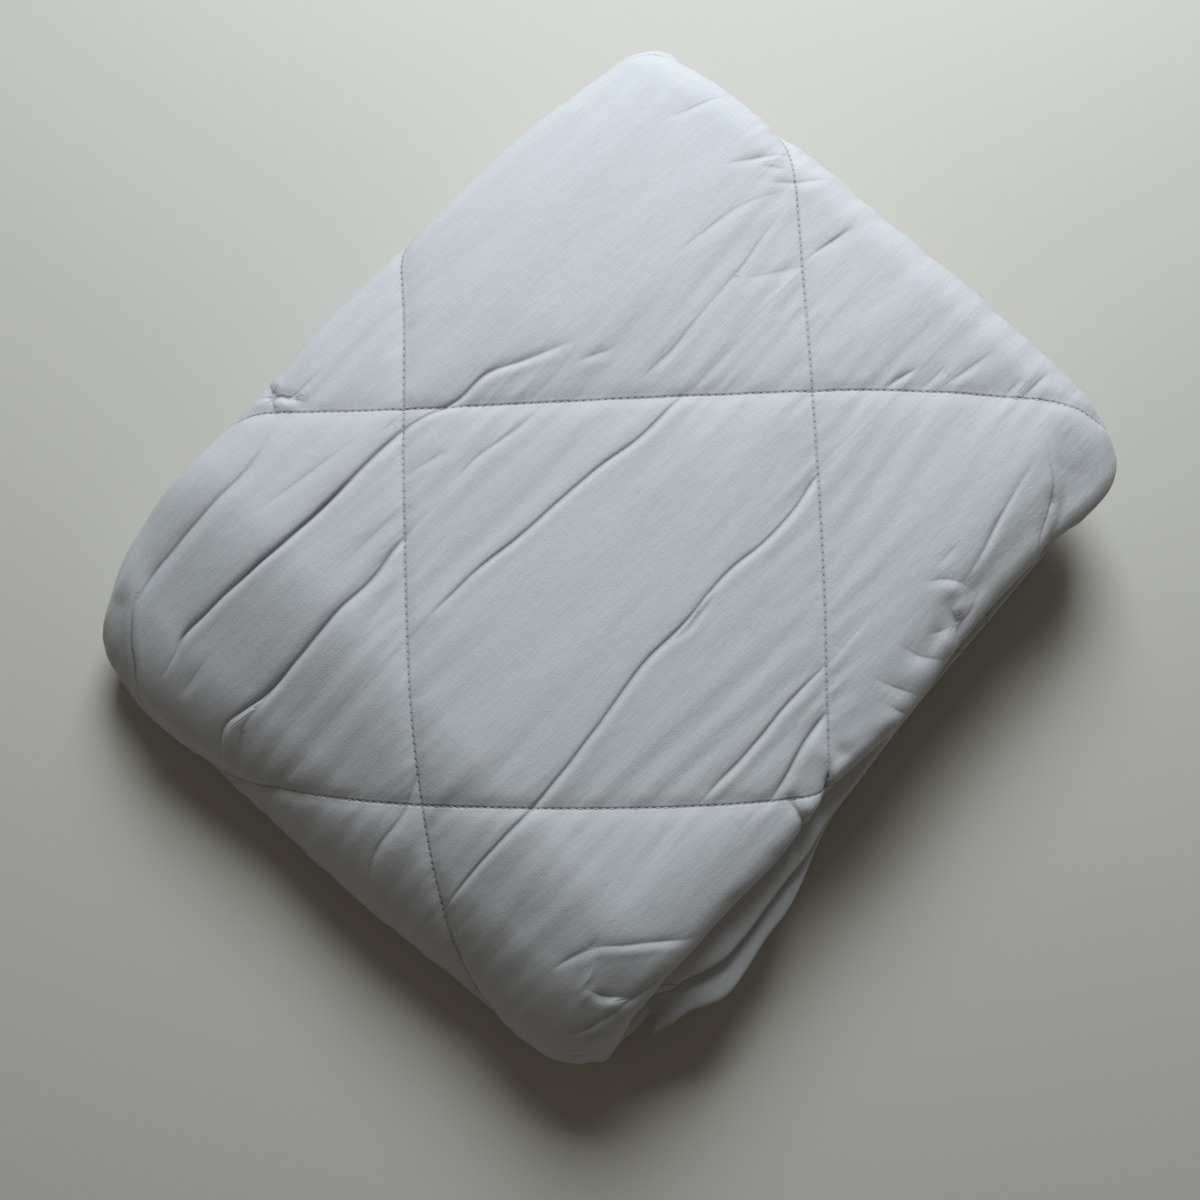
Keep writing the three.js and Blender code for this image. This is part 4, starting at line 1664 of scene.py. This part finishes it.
@dataclass
class StitchTree:
    """The Geometry Nodes tree that lays one bead of thread on each point of the stitch lines."""

    segments: int = 6
    rings: int = 5

    def build(self) -> bpy.types.NodeTree:
        """Builds the tree.

        Returns:
            The tree. The bead's sizes and the thread's material are its inputs.
        """
        tree = bpy.data.node_groups.new("stitch_beads", "GeometryNodeTree")
        kinds = {"Geometry": "Geometry", "Bead Length": "Float", "Bead Width": "Float", "Thread": "Material"}
        for name, kind in kinds.items():
            tree.interface.new_socket(name, in_out="INPUT", socket_type=f"NodeSocket{kind}")
        tree.interface.new_socket("Geometry", in_out="OUTPUT", socket_type="NodeSocketGeometry")
        bench = Bench(tree)
        given = bench.node("NodeGroupInput").outputs
        route = bench.node("GeometryNodeMeshToCurve", inputs={"Mesh": given["Geometry"]})
        points = bench.node("GeometryNodeCurveToPoints", {"mode": "EVALUATED"}, {"Curve": route.outputs[0]})
        tangent = {"Vector": points.outputs["Tangent"]}
        lie = bench.node("FunctionNodeAlignRotationToVector", {"axis": "Z"}, tangent)
        sizes = {"Segments": self.segments, "Rings": self.rings, "Radius": 0.5}
        ball = bench.node("GeometryNodeMeshUVSphere", inputs=sizes)
        shaded = bench.node("GeometryNodeSetShadeSmooth", inputs={0: ball.outputs[0]})
        width, length = given["Bead Width"], given["Bead Length"]
        size = bench.node("ShaderNodeCombineXYZ", inputs={0: width, 1: width, 2: length})
        beads = bench.node(
            "GeometryNodeInstanceOnPoints",
            inputs={
                "Points": points.outputs["Points"],
                "Instance": shaded.outputs[0],
                "Rotation": lie.outputs[0],
                "Scale": size.outputs[0],
            },
        )
        real = bench.node("GeometryNodeRealizeInstances", inputs={0: beads.outputs[0]})
        dressing = {"Geometry": real.outputs[0], "Material": given["Thread"]}
        dressed = bench.node("GeometryNodeSetMaterial", inputs=dressing)
        bench.node("NodeGroupOutput", inputs={"Geometry": dressed.outputs[0]})
        return tree


# Floor, light and camera

@dataclass
class Studio:
    """The plain pale floor, the soft light and the camera."""

    camera_place: tuple[float, float, float] = (-0.1631, -0.1289, 1.026)
    camera_heading: float = -47.3
    camera_tilt: float = 9.8
    focal_share: float = 1250 / 1200  # focal length, in widths of the picture
    sensor_width: float = 36.0
    window_azimuth: float = 38.0
    window_elevation: float = 43.0
    window_distance: float = 2.1
    window_size: tuple[float, float] = (1.0, 0.9)
    window_power: float = 48.5
    window_colour: tuple[float, float, float] = (0.86, 0.935, 1.0)
    room_colour: tuple[float, float, float] = (1.0, 0.93, 0.80)
    room_strength: float = 0.085
    floor: PlainFinish = PlainFinish("pale_floor", (0.62, 0.59, 0.53))
    floor_reach: float = 5.0
    floor_level: float = -0.0003

    def build(self) -> None:
        """Builds the floor, the lights and the camera."""
        self.build_floor()
        self.build_window()
        self.build_room()
        self.build_camera()
        bpy.context.scene.view_settings.view_transform = "Standard"

    def build_floor(self) -> None:
        """Lays the floor just under the comforter."""
        mesh = bpy.data.meshes.new("floor")
        around = ((-1, -1), (1, -1), (1, 1), (-1, 1))
        corners = [(x * self.floor_reach, y * self.floor_reach, self.floor_level) for x, y in around]
        mesh.from_pydata(corners, [], [(0, 1, 2, 3)])
        mesh.materials.append(self.floor.material())
        floor = bpy.data.objects.new("floor", mesh)
        bpy.context.scene.collection.objects.link(floor)

    def build_window(self) -> None:
        """Hangs one large soft light beside the comforter."""
        light = bpy.data.lights.new("window", "AREA")
        light.shape = "RECTANGLE"
        light.size, light.size_y = self.window_size
        light.energy, light.color = self.window_power, self.window_colour
        window = bpy.data.objects.new("window", light)
        azimuth, elevation = math.radians(self.window_azimuth), math.radians(self.window_elevation)
        side, up = self.window_distance * math.cos(elevation), self.window_distance * math.sin(elevation)
        window.location = (side * math.cos(azimuth), side * math.sin(azimuth), up)
        window.rotation_euler = (-window.location).to_track_quat("-Z", "Y").to_euler()
        bpy.context.scene.collection.objects.link(window)

    def build_room(self) -> None:
        """Fills the shadows a little, from all round."""
        world = bpy.data.worlds.new("room")
        world.use_nodes = True
        background = world.node_tree.nodes["Background"]
        background.inputs["Color"].default_value = (*self.room_colour, 1.0)
        background.inputs["Strength"].default_value = self.room_strength
        bpy.context.scene.world = world

    def build_camera(self) -> None:
        """Sets up the camera, nearly overhead."""
        lens = bpy.data.cameras.new("camera")
        lens.sensor_width = self.sensor_width
        lens.lens = lens.sensor_width * self.focal_share
        camera = bpy.data.objects.new("camera", lens)
        camera.location = self.camera_place
        camera.rotation_euler = (math.radians(self.camera_tilt), 0.0, math.radians(self.camera_heading))
        bpy.context.scene.collection.objects.link(camera)
        bpy.context.scene.camera = camera


def main() -> None:
    """Builds everything in order and reports each piece."""
    Studio().build()
    for piece in Comforter().build():
        LOG.info("%s: %d points", piece.name, len(piece.data.vertices))


if __name__ == "__main__":
    logging.basicConfig(level=logging.INFO, format="%(name)s: %(message)s")
    main()
